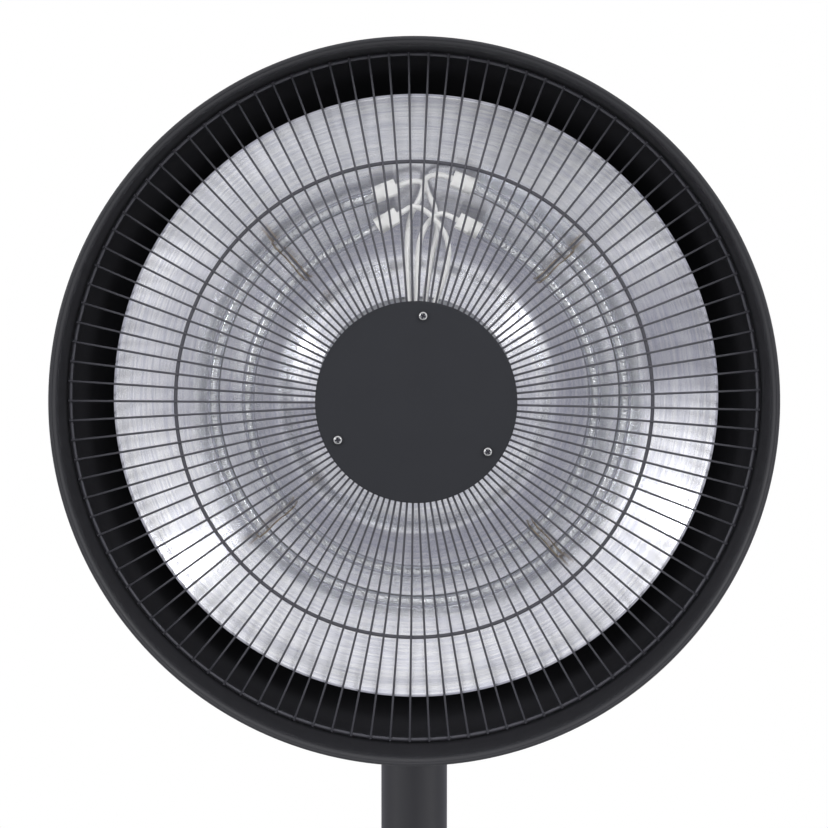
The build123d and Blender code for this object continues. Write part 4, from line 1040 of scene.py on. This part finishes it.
for slot_deg in (0.0, 90.0):
    slot_place = screw_axis["at"] - Vector((0, HEAD_HEIGHT, 0))
    slot_turn = math.radians(slot_deg + RECESS_TURN_DEG)
    bpy.ops.object.select_all(action="DESELECT")
    bpy.ops.mesh.primitive_cube_add(size=1.0, location=slot_place, rotation=(0, slot_turn, 0),
                                    scale=(RECESS_SPAN, 2 * RECESS_DEPTH, RECESS_WIDTH))
    cutter = bpy.context.object
    cut = screws.modifiers.new("recess", "BOOLEAN")
    cut.object = cutter
    cut.operation = "DIFFERENCE"
    bpy.context.view_layer.objects.active = screws
    bpy.ops.object.modifier_apply(modifier=cut.name)
    bpy.data.objects.remove(cutter)
around_head(screws, COVER_SCREWS, COVER_SCREW_DEG)
screws.location += DISC_ASIDE
finish_piece(screws, "cover_screw_heads", "cover_screws", smooth=35)

# %% [markdown]
# A deep cross recess lies in shade, but bright steel at its bottom would mirror the room. So a
# thin dark disc is laid at their depth as painted shade, hidden in the head except where the slots
# are open.

# %% Painted shade at the bottom of their recesses
RECESS_SHADE_SHEET = 0.3 * MM

# a thin dark disc at the bottom of each cross recess, as painted shade
recess_shade_place = screw_axis["at"] + Vector((0, RECESS_DEPTH - HEAD_HEIGHT, 0))
bpy.ops.object.select_all(action="DESELECT")
bpy.ops.mesh.primitive_cylinder_add(vertices=24, radius=RECESS_SPAN / 2, depth=RECESS_SHADE_SHEET,
                                    location=recess_shade_place, rotation=(math.radians(90), 0, 0))
recess_shade = bpy.context.object
bpy.ops.object.transform_apply(location=True, rotation=True, scale=True)
around_head(recess_shade, COVER_SCREWS, COVER_SCREW_DEG)
recess_shade.location += DISC_ASIDE
bpy.ops.object.transform_apply(location=True, rotation=True, scale=True)
recess_shade.name = "cover_screw_recess_shade"
recess_shade.data.materials.append(FINISH["steel_dark"])
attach(recess_shade, BODY_OF["cover_screws"])
print(recess_shade.name, len(recess_shade.data.polygons), "faces")

# %% [markdown]
# ## The quartz tubes
#
# Two straight quartz tubes were bent hot into open rings. Each ring has its own middle, a little
# off the head's axis, and opens outwards near its ends, which a torus with a gap wouldn't show.
# So a tube is a round curve along that line, and a solidify modifier gives the glass its wall.

# %% Where a tube runs
TUBE_R = 4.0 * MM
TUBE_WALL = 1.0 * MM
TUBE_DEPTH = 70.0 * MM
CAP_LENGTH = 14.6 * MM
CAP_HOLD = 7.0 * MM
SEAT_GAP = 0.3 * MM
TUBES = {
    # tube: ring radius, the ring's middle (x, z), and for each end the cap's clock angle, the
    # clock angle where the ring starts to open and how far out the cap lies
    "outer": (124.8, (3.0, -0.7), ((11.7, 50.0, 7.9), (350.7, 343.0, 1.9))),
    "inner": (105.2, (4.4, -1.8), ((15.1, 32.4, 3.8), (349.3, 335.3, 4.9))),
}


def tube_point(which, clock, outward=0.0, depth=TUBE_DEPTH):
    """A place on a tube's middle line, or beside it, at a clock angle about its own middle."""
    reach_r, middle, ends = TUBES[which]
    for cap_clock, opens, reach in ends:
        reach_r += reach * max(0.0, (opens - clock) / (opens - cap_clock)) ** 2
    turn = math.radians(clock)
    reach_r += outward / MM
    x = middle[0] + reach_r * math.sin(turn)
    z = middle[1] + reach_r * math.cos(turn)
    return HEAD_AXIS["at"] + Vector((x * MM, depth, z * MM))


def tube_span(which):
    """The clock angles of a tube's two ends, inside the end caps."""
    ring_r, _, ends = TUBES[which]
    short = math.degrees((CAP_LENGTH / 2 - CAP_HOLD + SEAT_GAP) / (ring_r * MM))
    return ends[0][0] + short, ends[1][0] - short


for which in TUBES:
    print(which, "tube from clock angle", [round(clock, 1) for clock in tube_span(which)])


# %% Round wire along a line
def curve_piece(routes, thickness, sides, kind="POLY", steps=6, caps=True):
    """One mesh of round wire along each route of places."""
    line = bpy.data.curves.new("route", "CURVE")
    line.dimensions = "3D"
    line.bevel_depth = thickness
    line.bevel_resolution = sides
    line.resolution_u = steps
    line.use_fill_caps = caps
    for route in routes:
        spline = line.splines.new(kind)
        spline.points.add(len(route) - 1)
        for point, place in zip(spline.points, route):
            point.co = (*place, 1)
        if kind == "NURBS":
            spline.order_u = 3
            spline.use_endpoint_u = True
    drawn = bpy.data.objects.new("route", line)
    bpy.context.scene.collection.objects.link(drawn)
    select_only(drawn)
    bpy.ops.object.convert(target="MESH")
    print("routes:", len(routes), "points:", sum(len(route) for route in routes))
    return bpy.context.object


# %% Tubes
TUBE_STEPS = 200

for which in TUBES:
    start, end = tube_span(which)
    clocks = [start + (end - start) * i / TUBE_STEPS for i in range(TUBE_STEPS + 1)]
    tube_line = [tube_point(which, clock) for clock in clocks]
    glass = curve_piece([tube_line], TUBE_R, sides=8, caps=False)
    wall = glass.modifiers.new("wall", "SOLIDIFY")
    wall.thickness = TUBE_WALL
    wall.offset = -1.0
    bpy.ops.object.modifier_apply(modifier=wall.name)
    finish_piece(glass, f"quartz_tube_{which}", f"{which}_tube", smooth=50)

# %% [markdown]
# ## The heating wire
#
# Inside each tube runs a close coil of resistance wire. A screw modifier makes a straight coil,
# which would then have to be bent. It is drawn as one long curve instead: a helix whose axis is
# the ring itself, with four flat sides so that hundreds of turns stay light.

# %% Coils
COIL_R = 1.9 * MM
COIL_WIRE_R = 0.34 * MM
COIL_PITCH = 1.3 * MM
POINTS_A_TURN = 10

for which, (ring_r, _, _) in TUBES.items():
    start, end = tube_span(which)
    turns = int(math.radians(end - start) * ring_r * MM / COIL_PITCH)
    count = turns * POINTS_A_TURN
    coil_line = []
    for i in range(count + 1):
        turn = 2 * math.pi * i / POINTS_A_TURN
        clock = start + (end - start) * i / count
        coil_line.append(tube_point(which, clock, outward=COIL_R * math.cos(turn),
                                    depth=TUBE_DEPTH + COIL_R * math.sin(turn)))
    coil = curve_piece([coil_line], COIL_WIRE_R, sides=0)
    finish_piece(coil, f"heating_coil_{which}", f"{which}_filament", smooth=50)
    print("turns:", turns)

# %% [markdown]
# ## End caps
#
# Each tube end sits in a steatite cap: a square block on the side of the lead and a round collar
# over the glass. They are pressed and fired, so their edges are a little round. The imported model
# has their form already, so a copy of it is softened: its loose triangles are merged, its flat
# faces are dissolved back into whole ones, and its edges get a small bevel.

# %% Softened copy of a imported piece
MERGE_COPIED = 0.003 * MM
FLAT_WITHIN_DEG = 0.6
EDGE_OVER_DEG = 30


def softened_copy(node, name, bevel):
    """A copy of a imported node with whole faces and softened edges."""
    piece = bpy.data.objects.new(name, frame["nodes"][node].data.copy())
    bpy.context.scene.collection.objects.link(piece)
    select_only(piece)
    bpy.ops.object.mode_set(mode="EDIT")
    bpy.ops.mesh.select_all(action="SELECT")
    bpy.ops.mesh.remove_doubles(threshold=MERGE_COPIED)
    bpy.ops.mesh.dissolve_limited(angle_limit=math.radians(FLAT_WITHIN_DEG))
    bpy.ops.object.mode_set(mode="OBJECT")
    soften = piece.modifiers.new("soften", "BEVEL")
    soften.width = bevel
    soften.segments = 2
    soften.limit_method = "ANGLE"
    soften.angle_limit = math.radians(EDGE_OVER_DEG)
    soften.use_clamp_overlap = True
    bpy.ops.object.modifier_apply(modifier=soften.name)
    finish_piece(piece, name, node, smooth=EDGE_OVER_DEG)


softened_copy("tube_caps", "ceramic_caps", bevel=0.6 * MM)

# %% [markdown]
# ## Tube supports
#
# Four spring-wire hairpins hold both tubes off the dish. Each has two legs that wave over the
# tubes, and a bridge that joins them at the outer end. A bent cylinder would take many joints, so
# the wave is a smooth curve through a few chosen places. The same wave serves all legs: it is
# worked out from the tubes and the dish at each support's clock angle.

# %% Places beside tubes and dish
def head_place(radius, depth, clock_deg):
    """A place in the head from its radius, its depth behind the rim and its clock angle."""
    turn = math.radians(clock_deg)
    return HEAD_AXIS["at"] + Vector((radius * math.sin(turn), depth, radius * math.cos(turn)))


def radius_at(which, clock):
    """Distance from the head's axis to a tube's ring, at a clock angle about that axis."""
    ring_r, (x, z), _ = TUBES[which]
    turn = math.radians(clock)
    along = x * math.sin(turn) + z * math.cos(turn)
    across = x * math.cos(turn) - z * math.sin(turn)
    return (along + math.sqrt(ring_r ** 2 - across ** 2)) * MM


def dish_front(radius):
    """Depth of the dish's front face at a radius, between the points of its section."""
    for (far_r, far_d), (near_r, near_d) in zip(front, front[1:]):
        if near_r <= radius <= far_r and far_r > near_r:
            return near_d + (far_d - near_d) * (radius - near_r) / (far_r - near_r)
    return HUB_SEAT_DEPTH


right_of_head = radius_at("outer", 90)
print(f"right of the middle, the outer tube is {right_of_head / MM:.1f} mm from the axis")
print(f"and the dish behind it {dish_front(right_of_head) / MM:.1f} mm behind the rim")

# %% Measures of the supports
SUPPORT_CLOCKS = (-42.0, 46.8, 137.4, 228.4)
SUPPORT_WIRE_R = 0.5 * MM
SUPPORT_LEGS = 1.6 * MM
SUPPORT_BEND = 1.5 * MM
BRIDGE_OFF_DISH = 3.0 * MM
HUG_SLACK = 1.08
HUG_GAP = 0.15 * MM
HUG = TUBE_R * HUG_SLACK + HUG_GAP + SUPPORT_WIRE_R
HUG_CORNER = HUG * 0.42
HUG_DIP = HUG * 0.8
print(f"a leg's wire bends {HUG / MM:.2f} mm from a tube's middle")

# %% Supports
leg_lines = []
for clock in SUPPORT_CLOCKS:
    outer_r, inner_r = radius_at("outer", clock), radius_at("inner", clock)
    far, near, dip = outer_r + HUG, inner_r - HUG, TUBE_DEPTH + HUG_DIP
    side_depth, top_depth = TUBE_DEPTH - HUG_CORNER, TUBE_DEPTH - HUG
    wave = [(far, dish_front(far) - SUPPORT_WIRE_R)]
    for ring_r in (outer_r, inner_r):
        wave += [(ring_r + HUG, side_depth), (ring_r + HUG_CORNER, top_depth)]
        wave += [(ring_r - HUG_CORNER, top_depth), (ring_r - HUG, side_depth)]
        if ring_r == outer_r:
            wave += [(outer_r - HUG - SUPPORT_BEND, dip), (inner_r + HUG + SUPPORT_BEND, dip)]
    wave.append((near, dish_front(near) - SUPPORT_WIRE_R))
    turn = math.radians(clock)
    across = Vector((math.cos(turn), 0, -math.sin(turn))) * SUPPORT_LEGS
    for side in (-1, 1):
        leg_lines.append([head_place(r, d, clock) + across * side for r, d in wave])
    bridge = head_place(far, dish_front(far) - BRIDGE_OFF_DISH, clock)
    leg_lines.append([bridge - across, bridge, bridge + across])
supports = curve_piece(leg_lines, SUPPORT_WIRE_R, sides=2, kind="NURBS")
finish_piece(supports, "spring_supports", "tube_supports", smooth=60)

# %% [markdown]
# ## Heater leads
#
# Four sleeved leads run from the caps to the terminal block behind the disc. They leave their
# caps straight, cross one another in loose curves and go in behind the disc. No rule gives such
# curves, so their places are listed, as (x, depth, z) in millimetres in the head, and
# each lead is one smooth spline.

# %% Routes of the leads
LEAD_R = 1.65 * MM
LEAD_OUT = 4.5 * MM
BLOCK_TOP = 29.0
LEAD_ROUTES = {
    ("outer", 0): [(12.5, 72.0, 134.3), (6.0, 74.5, 132.0), (8.0, 75.3, 123.5), (13.5, 76.0, 113.0),
                   (14.0, 76.0, 98.0), (9.5, 75.0, 80.0), (5.5, 73.0, 52.0)],
    ("outer", 1): [(0.0, 70.3, 130.5), (6.2, 71.0, 129.5), (4.6, 72.5, 122.0), (-3.5, 74.5, 108.0),
                   (-4.3, 74.5, 90.0), (-3.8, 73.5, 70.0), (-2.5, 72.0, 50.0)],
    ("inner", 0): [(16.0, 70.2, 111.5), (8.5, 70.5, 106.5), (3.0, 70.8, 95.0), (1.5, 70.2, 78.0),
                   (1.8, 69.0, 52.0)],
    ("inner", 1): [(-1.0, 67.5, 115.5), (6.0, 66.0, 113.5), (15.5, 66.0, 104.5), (21.5, 66.5, 92.0),
                   (19.5, 67.3, 74.0), (9.8, 68.5, 52.0)],
}
print("leads:", len(LEAD_ROUTES))

# %% Leads
NEARBY_DEG = 0.5


def cap_exit(which, end):
    """Where a lead leaves its cap, and the direction in which it leaves."""
    cap_clock = TUBES[which][2][end][0]
    side = -1 if end == 0 else 1
    way = tube_point(which, cap_clock + NEARBY_DEG) - tube_point(which, cap_clock - NEARBY_DEG)
    way = way.normalized() * side
    return tube_point(which, cap_clock) + way * CAP_LENGTH / 2, way


lead_lines = []
for (which, end), chosen in LEAD_ROUTES.items():
    leaves, way = cap_exit(which, end)
    places = [leaves, leaves + way * LEAD_OUT]
    places += [HEAD_AXIS["at"] + Vector((x, d, z)) * MM for x, d, z in chosen]
    last_x, last_depth, _ = chosen[-1]
    places.append(HEAD_AXIS["at"] + Vector((last_x, last_depth, BLOCK_TOP)) * MM)
    lead_lines.append(places)
leads = curve_piece(lead_lines, LEAD_R, sides=4, kind="NURBS", steps=14)
finish_piece(leads, "sleeved_leads", "heater_leads", smooth=60)

# %% [markdown]
# ## Base plate
#
# The base is a heavy round plate with a turned edge. It could be a cylinder with a bevel, but the
# spin helper is at hand and gives the round edge above and the small bevel below in one section.

# %% Base plate
plate_low, plate_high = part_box("base_plate")
PLATE_R = plate_high[0]
PLATE_EDGE = 2.5 * MM
PLATE_FOOT = 0.5 * MM

plate_corner = (PLATE_R - PLATE_EDGE, plate_high[2] - PLATE_EDGE)
plate_outline = [(0.0, plate_low[2]), (PLATE_R - PLATE_FOOT, plate_low[2])]
plate_outline += [(PLATE_R, plate_low[2] + PLATE_FOOT)]
plate_outline += arc(plate_corner, PLATE_EDGE, start=0, swing=90, count=8)
plate_outline += [(0.0, plate_high[2])]
plate = spun(plate_outline, POLE_AXIS, steps=180)
finish_piece(plate, "base_disc", "base_plate", smooth=40)

# %% [markdown]
# ## Poles
#
# Both poles are plain steel tube, the upper one sliding in the lower. Their cut ends are filed,
# and that small ease is what tells a tube from a bare cylinder. One function makes both, at the
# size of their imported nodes.

# %% Poles
POLE_WALL = 1.5 * MM
POLE_END_EASE = 0.3 * MM


def pole(node, name):
    """A tube with softly broken ends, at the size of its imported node."""
    low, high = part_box(node)
    radius = high[0]
    inside = radius - POLE_WALL
    eased_r = radius - POLE_END_EASE
    outline = [(inside, low[2]), (eased_r, low[2]), (radius, low[2] + POLE_END_EASE)]
    outline += [(radius, high[2] - POLE_END_EASE), (eased_r, high[2]), (inside, high[2])]
    tube = spun(outline + outline[:1], POLE_AXIS, steps=96)
    finish_piece(tube, name, node, smooth=40)


pole("lower_pole", "pole_low")
pole("upper_pole", "pole_high")

# %% [markdown]
# ## Castings, mouldings and fasteners
#
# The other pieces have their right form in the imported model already. What they lack is the small
# radius that every real edge has, which catches the light. Each gets a softened copy, with a wide
# bevel for castings and mouldings and a narrow one for turned metal.

# %% Softened copies
SOFT = {
    # node: name, bevel width
    "floor_pad": ("rubber_pad", 0.6 * MM),
    "pole_socket": ("welded_socket", 0.5 * MM),
    "socket_screws": ("button_screws", 0.25 * MM),
    "socket_set_screws": ("set_screws", 0.15 * MM),
    "pole_collar": ("collar_moulding", 0.8 * MM),
    "collar_bush": ("collar_liner", 0.3 * MM),
    "height_knob": ("height_knob_moulding", 0.7 * MM),
    "height_stud": ("height_clamp_stud", 0.3 * MM),
    "pole_glide": ("glide_plug", 0.3 * MM),
    "pole_yoke": ("yoke_casting", 0.9 * MM),
    "yoke_screws": ("yoke_cap_screws", 0.2 * MM),
    "tilt_bolt": ("pivot_bolt", 0.3 * MM),
    "tilt_washers": ("friction_washers", 0.2 * MM),
    "tilt_knob": ("tilt_knob_moulding", 0.7 * MM),
    "tilt_knob_insert": ("knob_insert", 0.2 * MM),
    "rear_housing": ("housing_casting", 0.8 * MM),
    "cable_gland": ("gland_body", 0.4 * MM),
    "gland_nut": ("gland_lock_nut", 0.3 * MM),
    "switch_bodies": ("switch_frames", 0.3 * MM),
    "rocker_low": ("rocker_left", 0.4 * MM),
    "rocker_high": ("rocker_right", 0.4 * MM),
    "hub_cup": ("hub_pressing", 0.3 * MM),
    "ceramic_block": ("terminal_block", 0.5 * MM),
    "mains_block": ("mains_terminal", 0.4 * MM),
    "tip_switch": ("tip_over_switch", 0.5 * MM),
}
for node, (name, bevel) in SOFT.items():
    softened_copy(node, name, bevel=bevel)
